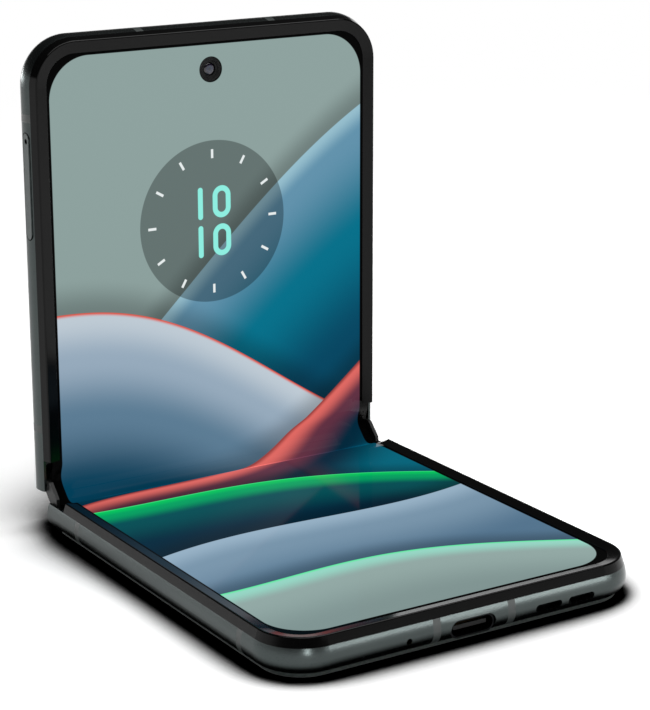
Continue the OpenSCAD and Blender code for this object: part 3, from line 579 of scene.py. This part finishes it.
def rounded(a, b, middle, half, corner):
    """1 inside a rectangle with round corners, 0 outside.

    The distance to it is the length of what sticks out past the box of its four corner middles.
    """
    past_a = past(a, middle[0], half[0] - corner)
    past_b = past(b, middle[1], half[1] - corner)
    return inside(length(past_a, past_b), corner)


def figures(x, up):
    """The numerals 1 and 0 in each row: a stroke is what lies within half its width of a centre line."""
    half_line = (FIGURE_HEIGHT - FIGURE_STROKE) / 2
    bend = (FIGURE_WIDTH - FIGURE_STROKE) / 2
    drawn = None
    for row in FIGURE_ROWS:
        one = length(x - ONE_X, past(up, row, half_line))
        nought = (length(x - NOUGHT_X, past(up, row, half_line - bend)) - bend).math("ABSOLUTE")
        for line in (one, nought):
            stroke = inside(line, FIGURE_STROKE / 2)
            drawn = stroke if drawn is None else drawn.math("MAXIMUM", stroke)
    return drawn


def marks(x, up, radius):
    """Twelve short lines round the clock: the angle is folded into one twelfth of a turn."""
    turn = 2 * math.pi / MARKS
    folded = up.math("ARCTAN2", x).math("PINGPONG", turn / 2)
    across = radius * folded.math("SINE")
    ring = radius.rise(MARK_INNER - EDGE, MARK_INNER + EDGE) * inside(radius, MARK_OUTER)
    return inside(across.math("ABSOLUTE"), MARK_WIDTH / 2) * ring


def clock(x, t, behind):
    """The clock over the colour behind it."""
    up = t - CLOCK_T
    radius = length(x, up)
    colour = between(inside(radius, CLOCK_RADIUS) * CLOCK_SHADE, behind, BLACK)
    colour = between(marks(x, up, radius), colour, MARK_TINT)
    return between(figures(x, up), colour, FIGURE_TINT)

# %% [markdown]
# ## Lighting the display
#
# The picture stops at a rounded rectangle, and outside it the glass is black up to the rim. There is
# also a black ring round the front camera. The flat pieces get x and t from Object coordinates, which
# differ for the lying and the standing half. The bent sheets over the fold get them from a UV map, so
# that their picture follows their bent shape. Only the face that is looked at shines: the edges and the
# back of the glass stay black, so nothing glows through the gaps of the folded phone.

# %% Display finishes
def seat(node):
    """A node's middle in x and z, with its lowest y between them, in millimetres."""
    low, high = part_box(node)
    return (low.x + high.x) / 2 / MM, low.y / MM, (low.z + high.z) / 2 / MM


LOWER_START = lower_axis[1] + axis_gap / 2      # y where t is 0, if the lower glass ran on, flat
UPPER_START = upper_axis[2] - axis_gap / 2      # z where t is 0, if the upper glass ran on, flat
CAMERA_HOLE_T = seat("front_camera_lens")[2] - UPPER_START / MM
CAMERA_HOLE_RADIUS = 2.42


def lit(x, t):
    """1 inside the lit rounded rectangle, 0 outside it and over the front camera."""
    area = rounded(x, t, (0, (LIT_HIGH + LIT_LOW) / 2), (LIT_SIDE, (LIT_HIGH - LIT_LOW) / 2), LIT_ROUND)
    from_camera = length(x, t - CAMERA_HOLE_T)
    return area * from_camera.rise(CAMERA_HOLE_RADIUS - EDGE, CAMERA_HOLE_RADIUS + EDGE)


def display(name, place):
    """Display glass over its picture. place gives x and t in millimetres, and 1 on the shining face."""
    glass = Finish(name, specular_ior_level=0.015, emission_strength=1.0)
    x, t, face = place(glass)
    picture = clock(x, t, hills(x, t))
    glass.give("Emission Color", between(lit(x, t) * face, BLACK, picture))
    return glass.done((0.002, 0.002, 0.002, 1), glass.noise(25 * MM).span(0.05, 0.10))


FACE_DEPTH = 0.05 * MM                  # the glass shines down to this depth, and fades over as much
LOWER_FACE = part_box("display_lower")[1].z - FACE_DEPTH
UPPER_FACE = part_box("display_upper")[0].y + FACE_DEPTH


def place_on_lower(glass):
    """On the lying half, t runs along Y and the face looks up."""
    x, y, z = glass.parts(glass.spot())
    return x / MM, (y - LOWER_START) / MM, z.rise(LOWER_FACE - FACE_DEPTH, LOWER_FACE)


def place_on_upper(glass):
    """On the standing half, t runs up Z and the face looks along -Y."""
    x, y, z = glass.parts(glass.spot())
    return x / MM, (z - UPPER_START) / MM, (y * -1).rise(-UPPER_FACE - FACE_DEPTH, -UPPER_FACE)


def place_on_sheet(glass):
    """On the bending sheets, x and t come from the UV map: their undersides lie far off the picture."""
    x, t, _ = glass.parts(add(glass.tree, "TexCoord").outputs["UV"])
    return x / MM, t / MM, 1


display_finishes = {
    "display_lower": display("display_lower", place_on_lower),
    "display_upper": display("display_upper", place_on_upper),
    "sheet": display("display_sheet", place_on_sheet),
}
print("display nodes:", [len(m.node_tree.nodes) for m in display_finishes.values()])

# %% [markdown]
# ## Closed sheets from two grids
#
# A thin sheet is a grid of points for its upper face, the same grid moved down for its lower face, and
# a wall that joins their edges. Whole arrays of indices make the faces at once: no loop over points.
# The same function then serves the display over the fold, and the flat cable inside it.

# %% Closed sheet
FAR_OFF = 1.0                           # x and t of everything that isn't part of the picture


def closed_sheet(name, top, bottom, flat):
    """A mesh between two grids of points, rows by columns, with flat, its top's x and t, as UV map.

    Top quads run round (i, j), (i, j+1), (i+1, j+1), (i+1, j). The bottom has the same quads the other
    way round, and the wall joins each edge point of the top to the one below it.
    """
    rows, columns = top.shape[:2]
    index = np.arange(rows * columns).reshape(rows, columns)
    quads = np.stack((index[:-1, :-1], index[:-1, 1:], index[1:, 1:], index[1:, :-1]), axis=-1)
    quads = quads.reshape(-1, 4)
    edge = np.concatenate((index[0, :-1], index[:-1, -1], index[-1, :0:-1], index[:0:-1, 0]))
    after = np.roll(edge, -1)
    under = rows * columns
    wall = np.stack((edge, edge + under, after + under, after), axis=-1)
    faces = np.concatenate((quads, quads[:, ::-1] + under, wall))
    mesh = bpy.data.meshes.new(name)
    points = np.concatenate((top.reshape(-1, 3), bottom.reshape(-1, 3)))
    mesh.from_pydata(points.tolist(), [], faces.tolist())
    places = np.full((len(faces), 4, 2), FAR_OFF)
    places[:len(quads)] = flat.reshape(-1, 2)[quads]
    mesh.uv_layers.new(name="flat").data.foreach_set("uv", places.ravel())
    mesh.polygons.foreach_set("use_smooth", np.arange(len(faces)) < len(quads))
    return mesh


def piece(name, mesh, material):
    """A new object at the origin with one material, linked into the scene."""
    made = bpy.data.objects.new(name, mesh)
    made.data.materials.append(material)
    bpy.context.scene.collection.objects.link(made)
    return made

# %% [markdown]
# ## The display over the fold
#
# Open flat, the display is flat. Folded, each point of this stretch is turned about its fold axis by a
# share of the fold's angle, from none where the sheet leaves the flat glass to all of it in the middle
# of the spine. The sheets here are shaped so for the standing pose only: nothing bends them as the hinge
# turns. Points before the axis sink and points past it rise, so the display forms the shallow trough
# that is seen in the photograph. One sheet can bend about one axis only, so there are two, which meet
# in the middle of the spine.

# %% Display over the fold
DISPLAY_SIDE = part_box("display_lower")[1].x
SHEET_START = 6.6 * MM                  # where the flat glass ends, from the fold axis
BEND_START = 4.6 * MM                   # where the bending begins
SHEET_THICK = 0.12 * MM
SHEET_ROWS = 60
SHEET_COLUMNS = 9
BEND_REPEATS = 80
# Each half's fold axis, the ways along its glass and out of it, and the sign of t on it.
HALVES = {
    "lower": {"axis": lower_axis, "away": np.array((0, -1, 0)), "out": np.array((0, 0, 1)), "sign": -1},
    "upper": {"axis": upper_axis, "away": np.array((0, 0, 1)), "out": np.array((0, -1, 0)), "sign": 1},
}


def turned_about(points, axis, angle):
    """Points turned by an angle, which may differ for each, about a line along X through axis."""
    y, z = points[..., 1] - axis[1], points[..., 2] - axis[2]
    c, s = np.cos(angle), np.sin(angle)
    return np.stack((points[..., 0], axis[1] + y * c - z * s, axis[2] + y * s + z * c), axis=-1)


def standing(flat_points, half, bend_from, bend_to):
    """Where points of the open phone lie in the standing pose.

    A point turns by REST_TURN (1 - w) towards the spine, with w = 0 in the middle of the spine and
    w = 1 beyond the bend. w is a smooth S of how far along bend_to to bend_from the point lies in the
    standing pose, which isn't known at first: so the turn is repeated until it no longer changes.
    """
    run = bend_from - bend_to
    where = flat_points.copy()
    for _ in range(BEND_REPEATS):
        share = np.clip((where - bend_to) @ run / (run @ run), 0, 1)
        w = share * share * (3 - 2 * share)
        where = turned_about(flat_points, half["axis"], -half["sign"] * REST_TURN * (1 - w))
    return where


def across_the_fold(half, side, reach, height, thick, columns):
    """Top and bottom grids of a sheet from reach before the axis to the middle of the spine.

    Its rows lie at distances s from the axis, its top lies height outside the display's surface, and
    flat holds x and t of each point: t = s + half the gap between the axes, with its half's sign.
    """
    s = np.linspace(reach, -axis_gap / 2, SHEET_ROWS)
    x = np.linspace(-side, side, columns)
    if half["sign"] > 0:
        s = s[::-1]
    grid = half["axis"] + s[:, None, None] * half["away"] + x[None, :, None] * np.array((1, 0, 0))
    bend_from = half["axis"] + BEND_START * half["away"]
    lifted = [grid + (height - drop) * half["out"] for drop in (0, thick)]
    top, bottom = (standing(points, half, bend_from, spine_middle) for points in lifted)
    flat = np.stack(np.broadcast_arrays(x[None, :], half["sign"] * (s[:, None] + axis_gap / 2)), axis=-1)
    return top, bottom, flat


def bend_over(made, half_name):
    """Bakes a sheet's placement into its mesh, for either half; nothing makes it bend, and the bend's start that
    it works out is not used.
    """
    half = HALVES[half_name]
    bend_from = half["axis"] + BEND_START * half["away"]
    if half_name == "lower":
        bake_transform(made)
    else:
        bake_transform(made)


def fold_sheets(kind, sizes, material, replaced):
    """Two bending sheets, from each half to the middle of the spine, which replace one CAD node.

    sizes are the side, reach, height, thickness and number of columns of each.
    """
    for half_name, half in HALVES.items():
        top, bottom, flat = across_the_fold(half, *sizes)
        sheet = piece(f"{kind}_{half_name}", closed_sheet(kind, top, bottom, flat), material)
        bend_over(sheet, half_name)
        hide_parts(replaced)
        depth = ((half["axis"] - top[:, 0]) @ half["out"]).max()
        print(sheet.name, "sinks", round(float(depth / MM), 2), "mm")


fold_sheets("display_fold", (DISPLAY_SIDE, SHEET_START, 0, SHEET_THICK, SHEET_COLUMNS),
            display_finishes["sheet"], "display_fold")

# %% [markdown]
# ## The flat cable through the hinge
#
# Display, batteries and cameras of the two halves are joined by a printed cable, a thin amber film with
# copper tracks, which passes under the display in the middle of the fold. In the phone it bends with the
# spine, so here it is shaped, for the standing pose, by the same function as the display over the fold,
# only deeper and narrower.

# %% Flat cable
CABLE_SIDE = 6.0 * MM
CABLE_REACH = 12.0 * MM
CABLE_HEIGHT = -2.2 * MM
CABLE_THICK = 0.2 * MM
CABLE_COLUMNS = 5
CABLE_TRACK = 0.8 * MM


def cable_film():
    """Amber film over copper: a wave across the cable, of one crest to each track, mixes the two."""
    film = Finish("cable_film", specular_ior_level=0.5)
    x, _, _ = film.parts(film.spot())
    track = (x * (2 * math.pi / CABLE_TRACK)).math("SINE").rise(-0.3, 0.3)
    colour = between(track, seen(74, 40, 12), seen(156, 92, 34))
    return film.done(colour, film.noise(1.2 * MM).span(0.28, 0.45), track, 0.01 * MM)


finishes["flex"] = cable_film()
fold_sheets("flat_cable", (CABLE_SIDE, CABLE_REACH, CABLE_HEIGHT, CABLE_THICK, CABLE_COLUMNS),
            finishes["flex"], "hinge_flex_cable")

# %% [markdown]
# ## Turned pieces
#
# Lenses, their black funnels and the flash's ridged lens are all round, so each is a profile turned
# about a line, as on a lathe. A profile is a row of pairs, each a radius and a height. One that starts
# and ends on the line gives a closed body, with a single point at each end.

# %% Lathe
LATHE_STEPS = 64
LATHE_CREASE = math.radians(30)         # faces that meet at more than this keep a sharp edge


def turned(name, profile, centre, out, material):
    """A closed body on the upper half, from pairs of radius and height, in millimetres.

    x = centre + radius cos(angle), z = centre + radius sin(angle), and y = centre + height times out.
    The profile runs from the middle of the back, round the rim, to the middle of the front. Each end
    is a single point, so the faces that touch it are triangles.
    """
    radii, heights = np.array(profile).T * MM
    angle = np.linspace(0, 2 * math.pi, LATHE_STEPS, endpoint=False)
    ring = np.stack((np.cos(angle), 0 * angle, np.sin(angle)), axis=-1)
    lift = np.array((0, out, 0))
    points = [np.array(centre) * MM + r * ring + h * lift for r, h in zip(radii[1:-1], heights[1:-1])]
    ends = [np.array(centre) * MM + h * lift for h in (heights[0], heights[-1])]
    rings, here = len(points), np.arange(LATHE_STEPS)
    after = np.roll(here, -1)
    walls = [np.stack((here + k, after + k, after + k + LATHE_STEPS, here + k + LATHE_STEPS), axis=-1)
             for k in np.arange(rings - 1) * LATHE_STEPS]
    last = (rings - 1) * LATHE_STEPS
    back = np.stack((after, here, here * 0 + rings * LATHE_STEPS), axis=-1)
    front = np.stack((here + last, after + last, here * 0 + rings * LATHE_STEPS + 1), axis=-1)
    faces = [face.tolist() for part in (*walls, back, front) for face in part]
    if out > 0:
        faces = [face[::-1] for face in faces]
    mesh = bpy.data.meshes.new(name)
    mesh.from_pydata(np.concatenate((*points, ends)).tolist(), [], faces)
    mesh.shade_smooth()
    mesh.set_sharp_from_angle(angle=LATHE_CREASE)
    made = piece(name, mesh, material)
    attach(made, "upper_half")
    return made


def from_middle(finish, *middles):
    """Distance in millimetres from the nearest of some middles, each an x and z, in the X-Z plane."""
    x, _, z = finish.parts(finish.spot())
    nearest = None
    for middle_x, middle_z in middles:
        distance = length(x / MM - middle_x, z / MM - middle_z)
        nearest = distance if nearest is None else nearest.math("MINIMUM", distance)
    return nearest

# %% [markdown]
# ## Camera lenses
#
# A camera is a dark funnel with a small curved lens at its bottom. The lens has a coating, whose faint
# blue and violet gleam is painted into its colour as a reflection, and the funnel is ridged to swallow
# stray light. On the front the funnel fills the round hole in the display. At the back each funnel sits
# inside its metal ring.

# %% Camera finishes
front_x, _, front_z = seat("front_camera_lens")
FRONT_CAMERA = (front_x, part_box("display_upper")[0].y / MM, front_z)
FRONT_LENS_RADIUS = 1.1
REAR_CAMERAS = ((11.475, 79.255), (24.475, 79.255))     # x and z of the two middles
REAR_LENS_RADIUS = 2.6


def lens_with_painted_gleam(name, radius, *middles):
    """Dark glass with a painted reflection of its coating: blue near the middle, then violet, black at its edge.
    """
    lens = Finish(name, specular_ior_level=0.5, coat_weight=0.6, coat_roughness=0.03)
    out = from_middle(lens, *middles)
    # painted reflection: the coating's gleam, blue in the middle, then violet, then black at the edge
    colour = along(out, ((0, 8, 14, 30), (radius * 0.45, 22, 40, 72),
                         (radius * 0.75, 30, 18, 44), (radius, 4, 4, 6)))
    return lens.done(colour, lens.noise(0.8 * MM).span(0.04, 0.09))


def funnel_black(name, ridge, *middles):
    """Matt black with fine round ridges, by a wave of the distance from the middle."""
    black = Finish(name, specular_ior_level=0.25)
    wave = (from_middle(black, *middles) * (2 * math.pi / ridge)).math("SINE").span(0.5, 1.0)
    colour = between(wave, seen(2, 2, 3), seen(12, 12, 13))
    return black.done(colour, black.noise(0.3 * MM).span(0.5, 0.7), wave, 0.03 * MM)


lens_glass = {"front": lens_with_painted_gleam("front_lens", FRONT_LENS_RADIUS, (front_x, front_z)),
              "rear": lens_with_painted_gleam("rear_lens", REAR_LENS_RADIUS, *REAR_CAMERAS)}
funnels = {"front": funnel_black("front_funnel", 0.28, (front_x, front_z)),
           "rear": funnel_black("rear_funnel", 0.4, *REAR_CAMERAS)}
print("front camera at", [round(float(value), 2) for value in FRONT_CAMERA])

# %% [markdown]
# ## Turning the camera pieces
#
# Heights are counted outwards: on the front from the display's surface, at the back from the inner
# face of the glass that the new pieces replace. A funnel's profile goes round its outside first, then
# over its lip and down its steps to the bottom, on which the lens lies.

# %% Camera pieces
rear_low, rear_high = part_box("rear_camera_lenses")
REAR_RADIUS = (rear_high.z - rear_low.z) / 2 / MM
FRONT_LENS = ((0, -0.9), (FRONT_LENS_RADIUS, -0.9), (FRONT_LENS_RADIUS, -0.62), (0.98, -0.52),
              (0.75, -0.45), (0.4, -0.41), (0, -0.4))
FRONT_FUNNEL = ((0, -0.89), (2.3, -0.89), (2.3, -0.12), (2.22, -0.1), (1.75, -0.28), (1.7, -0.4),
                (1.25, -0.48), (1.15, -0.85), (0, -0.85))
REAR_LENS = ((0, 0.09), (REAR_LENS_RADIUS, 0.09), (REAR_LENS_RADIUS, 0.2), (2.3, 0.34), (1.8, 0.45),
             (1.1, 0.53), (0, 0.56))
REAR_FUNNEL = ((0, 0), (REAR_RADIUS, 0), (REAR_RADIUS, 0.55), (REAR_RADIUS - 0.1, 0.62),
               (REAR_RADIUS - 0.35, 0.62), (3.6, 0.42), (3.55, 0.3), (2.8, 0.24), (2.7, 0.08), (0, 0.08))

front_lens = turned("front_camera_lens_dome", FRONT_LENS, FRONT_CAMERA, -1, lens_glass["front"])
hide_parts("front_camera_lens")
turned("front_camera_funnel", FRONT_FUNNEL, FRONT_CAMERA, -1, funnels["front"])
for side, (x, z) in zip(("left", "right"), REAR_CAMERAS):
    centre = (x, rear_low.y / MM, z)
    funnel = turned(f"rear_camera_funnel_{side}", REAR_FUNNEL, centre, 1, funnels["rear"])
    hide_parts("rear_camera_lenses")
    lens = turned(f"rear_camera_lens_{side}", REAR_LENS, centre, 1, lens_glass["rear"])
    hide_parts("rear_camera_lenses")
print("rear cameras at", REAR_CAMERAS, "of radius", round(REAR_RADIUS, 2))

# %% [markdown]
# ## The lamp beside the cameras
#
# The flash is a small pressed lens over two yellow emitters. Its round ridges bend their light forward.
# The ridges are part of the turned profile, so they are real steps in the mesh.

# %% Flash
flash_low, flash_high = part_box("flash_lens")
FLASH_RADIUS = (flash_high.x - flash_low.x) / 2 / MM
FLASH_TOP = (flash_high.y - flash_low.y) / MM
FLASH_MIDDLE = seat("flash_lens")
RIDGES = 5
RIDGE_RADII = (FLASH_RADIUS - 0.12, 0.25)       # of the outermost ridge and the innermost
RIDGE = ((0, 0.12), (0.08, 0.02), (0.16, 0.1))  # its points: how far in, and how far below the top


def flash_glass():
    """Pale plastic, warm in the middle where the emitters shine through, by distance from there."""
    pressed = Finish("flash_glass", specular_ior_level=0.5)
    out = from_middle(pressed, (FLASH_MIDDLE[0], FLASH_MIDDLE[2]))
    colour = along(out, ((0, 232, 196, 96), (0.55, 224, 208, 150), (0.9, 206, 208, 204),
                         (1.3, 160, 164, 162)))
    return pressed.done(colour, pressed.noise(0.2 * MM).span(0.12, 0.25))


finishes["flash"] = flash_glass()
ridges = [(radius - inwards, FLASH_TOP - below)
          for radius in np.linspace(*RIDGE_RADII, RIDGES) for inwards, below in RIDGE]
flash = turned("flash_ridged_lens", ((0, 0), (FLASH_RADIUS, 0), (FLASH_RADIUS, FLASH_TOP - 0.15), *ridges,
                                     (0, FLASH_TOP - 0.06)), FLASH_MIDDLE, 1, finishes["flash"])
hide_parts("flash_lens")
print("flash of radius", round(FLASH_RADIUS, 2), "with", RIDGES, "ridges")

# %% [markdown]
# ## Contacts of the charging socket
#
# On both faces of the socket's tongue lie twelve gold pads. They are flat boxes, all in one mesh: the
# eight corners of one box are added to a grid of middles, which makes every box at once.

# %% Socket contacts
PAD_PITCH = 0.5
PAD_SIZE = (0.27, 2.6, 0.05)
PAD_INSET = 0.5                         # from the tongue's tip to the pads
PADS = 12
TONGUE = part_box("usb_tongue")


def boxes(name, middles, size):
    """One mesh of equal boxes: corners = each middle + half the size times plus or minus one.

    Corner number x + 2 y + 4 z lies on the side that x, y and z name, each 0 for low and 1 for high.
    """
    signs = np.array([(a, b, c) for c in (-1, 1) for b in (-1, 1) for a in (-1, 1)]) / 2
    points = middles[:, None, :] + signs[None, :, :] * np.array(size) * MM
    sides = np.array(((0, 2, 3, 1), (4, 5, 7, 6), (0, 1, 5, 4), (2, 6, 7, 3), (0, 4, 6, 2), (1, 3, 7, 5)))
    faces = (sides[None] + 8 * np.arange(len(middles))[:, None, None]).reshape(-1, 4)
    mesh = bpy.data.meshes.new(name)
    mesh.from_pydata(points.reshape(-1, 3).tolist(), [], faces.tolist())
    return mesh


def gold():
    """Thin gold plate: metal whose colour and roughness differ a little, as rubbed contacts do."""
    plate = Finish("gold_contact", metallic=1.0)
    wear = plate.noise(0.4 * MM, detail=3, stretch=(1, 4, 1))
    return plate.done(between(wear, seen(214, 170, 92), seen(236, 200, 128)), wear.span(0.2, 0.4))


finishes["gold_contact"] = gold()
pad_x = (np.arange(PADS) - (PADS - 1) / 2) * PAD_PITCH * MM
pad_y = TONGUE[0].y + (PAD_INSET + PAD_SIZE[1] / 2) * MM
pad_middles = np.array([(x, pad_y, z) for z in (TONGUE[0].z, TONGUE[1].z) for x in pad_x])
contacts = piece("socket_contacts", boxes("socket_contacts", pad_middles, PAD_SIZE),
                 finishes["gold_contact"])
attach(contacts, "lower_half")
print("contacts", len(pad_middles))

# %% [markdown]
# ## Back covers and cover glass
#
# The covers are moulded with a fine leather-like grain and dyed the same grey-green as the frame. Packed
# cells give such a grain: each cell is a tiny pebble and the borders between them are the creases. Light
# and shade are painted onto the grain: the pebble tops are painted paler and the creases darker. The
# upper cover carries a plate of black glass with a small display under it, which is off here: only a
# slight change of black shows where it lies.

# %% Back finishes
COVER_DISPLAY_ROUND = 3.0


def back_cover():
    """Soft moulded cover: pebbles of a third of a millimetre, with painted light on top and painted shade in the
    creases.
    """
    cover = Finish("back_cover", specular_ior_level=0.35, sheen_weight=0.15)
    pebbles = cover.cells(0.34 * MM).rise(0.1, 0.8)
    clouds = cover.noise(14 * MM, detail=3)
    # painted light and shade: each pebble's top is paler and the crease round it darker
    pebble_light_and_shade = between(pebbles, seen(74, 84, 81), seen(52, 60, 58))
    colour = between(clouds * 0.35, pebble_light_and_shade, seen(60, 70, 68))
    return cover.done(colour, pebbles.span(0.5, 0.68), pebbles, -0.03 * MM)


def cover_glass():
    """Black glass over a display that is off: a rounded area a little paler and bluer than the rest."""
    low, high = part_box("cover_display")
    half = (high - low) / 2 / MM
    middle_x, _, middle_z = seat("cover_display")
    glass = Finish("cover_glass", specular_ior_level=0.5, coat_weight=0.3, coat_roughness=0.02)
    x, _, z = glass.parts(glass.spot())
    area = rounded(x / MM, z / MM, (middle_x, middle_z), (half.x, half.z), COVER_DISPLAY_ROUND)
    return glass.done(between(area, seen(5, 6, 6), seen(14, 17, 20)), glass.noise(9 * MM).span(0.04, 0.09))


finishes["back_cover"] = back_cover()
finishes["cover_glass"] = cover_glass()
print("finishes so far:", len(finishes))

# %% [markdown]
# ## Metals of the hinge and the cameras
#
# The spine's cover is rolled and brushed along the fold. Its arms and brackets are cast and tumbled, so
# they are greyer and speckled. The camera rings are turned, which leaves round lines. The plates behind
# the display, the socket and the shield cans are sheet steel. All are full metals, which differ in the
# direction and size of their marks.

# %% Hinge and ring metals
TOOL_LINE = 0.12                        # mm from one turned line to the next


def brushed(name, dark, light, stretch, roughness, size, depth):
    """A metal brushed along one axis: noise of that size, drawn out that way, marks it that deep."""
    metal = Finish(name, metallic=1.0)
    lines = metal.noise(size * MM, stretch=stretch)
    return metal.driven_by(lines, dark, light, roughness, depth * MM)


def turned_metal(name, dark, light, *middles):
    """A metal turned on a lathe: a fine wave of the distance from the nearest middle, worn by noise."""
    metal = Finish(name, metallic=1.0)
    wave = (from_middle(metal, *middles) * (2 * math.pi / TOOL_LINE)).math("SINE").span(0.5, 1.0)
    worn = wave * metal.noise(0.6 * MM, detail=3)
    return metal.done(between(worn, dark, light), worn.span(0.18, 0.34), wave, 0.003 * MM)


BRUSHED = (
    ("spine_metal", seen(62, 69, 67), seen(88, 96, 93), (30, 1, 1), (0.22, 0.36), 0.1, 0.004),
    ("hinge_steel", seen(70, 71, 72), seen(104, 105, 106), (2, 1, 1), (0.35, 0.5), 0.35, 0.01),
    ("steel_plate", seen(136, 138, 139), seen(168, 170, 171), (1, 20, 1), (0.3, 0.45), 0.1, 0.004),
    ("socket_steel", seen(20, 21, 22), seen(34, 36, 37), (1, 12, 1), (0.3, 0.42), 0.1, 0.004),
    ("shield", seen(160, 162, 160), seen(186, 188, 186), (1, 1, 6), (0.3, 0.42), 0.3, 0.006),
)
finishes.update({row[0]: brushed(*row) for row in BRUSHED})
finishes["ring_metal"] = turned_metal("ring_metal", seen(72, 80, 78), seen(110, 120, 117), *REAR_CAMERAS)
print("finishes so far:", len(finishes))

# %% [markdown]
# ## Plastics, boards, batteries and tape
#
# What lies inside is hardly ever seen, yet each piece has its own material. A circuit board is dark
# green under a web of tracks, a battery is wrapped in black film that crinkles, the foam tape is full
# of pores, and moulded black parts have a fine spark-eroded texture.

# %% Inner finishes
def black_plastic():
    """Moulded black plastic: fine spark-eroded pits from small noise."""
    plastic = Finish("black_plastic", specular_ior_level=0.35)
    pits = plastic.noise(0.12 * MM)
    return plastic.driven_by(pits, seen(8, 9, 9), seen(20, 21, 21), (0.35, 0.55), 0.006 * MM)


def board():
    """Circuit board: the borders of packed cells are the tracks, under green lacquer."""
    lacquer = Finish("board", specular_ior_level=0.5)
    tracks = lacquer.cells(1.6 * MM, feature="DISTANCE_TO_EDGE").rise(0.03, 0.09)
    colour = between(tracks, seen(62, 110, 74), seen(14, 52, 36))
    return lacquer.done(colour, lacquer.noise(2 * MM).span(0.25, 0.4), tracks, -0.02 * MM)


def battery():
    """Battery in black film: long soft crinkles in its relief."""
    film = Finish("battery", specular_ior_level=0.5)
    crinkles = film.noise(3 * MM, detail=5, stretch=(3, 1, 1))
    return film.driven_by(crinkles, seen(14, 14, 16), seen(34, 34, 37), (0.25, 0.45), 0.08 * MM)


def tape():
    """Foam tape: pores of a quarter of a millimetre."""
    foam = Finish("tape", specular_ior_level=0.2)
    pores = foam.cells(0.25 * MM).rise(0.0, 0.7)
    return foam.driven_by(pores, seen(14, 14, 14), seen(38, 38, 37), (0.75, 0.95), 0.03 * MM)


finishes.update(black_plastic=black_plastic(), board=board(), battery=battery(), tape=tape(),
                lens=lens_glass["rear"])
print("all finishes:", sorted(finishes))

# %% [markdown]
# ## Every carried-over node gets its finish
#
# The record names a material slot for each node. The finishes above are kept under those same names, so
# one loop dresses all nodes. Only the display's pieces and the loudspeaker's dark mesh are told apart
# by their own name.

# %% Dress the nodes
finishes["display"] = display_finishes["sheet"]
own_finish = {**display_finishes, "speaker_mesh": finishes["socket_steel"]}
dressed = {}
for row in frame["record"]["subparts"]:
    name, slot_name = row["node"], row["material_slot"]
    material = own_finish.get(name, finishes[slot_name])
    for holder in nodes[name].material_slots:
        holder.material = material
    dressed.setdefault(material.name, []).append(name)
print(len(dressed), "finishes on", sum(map(len, dressed.values())), "nodes")
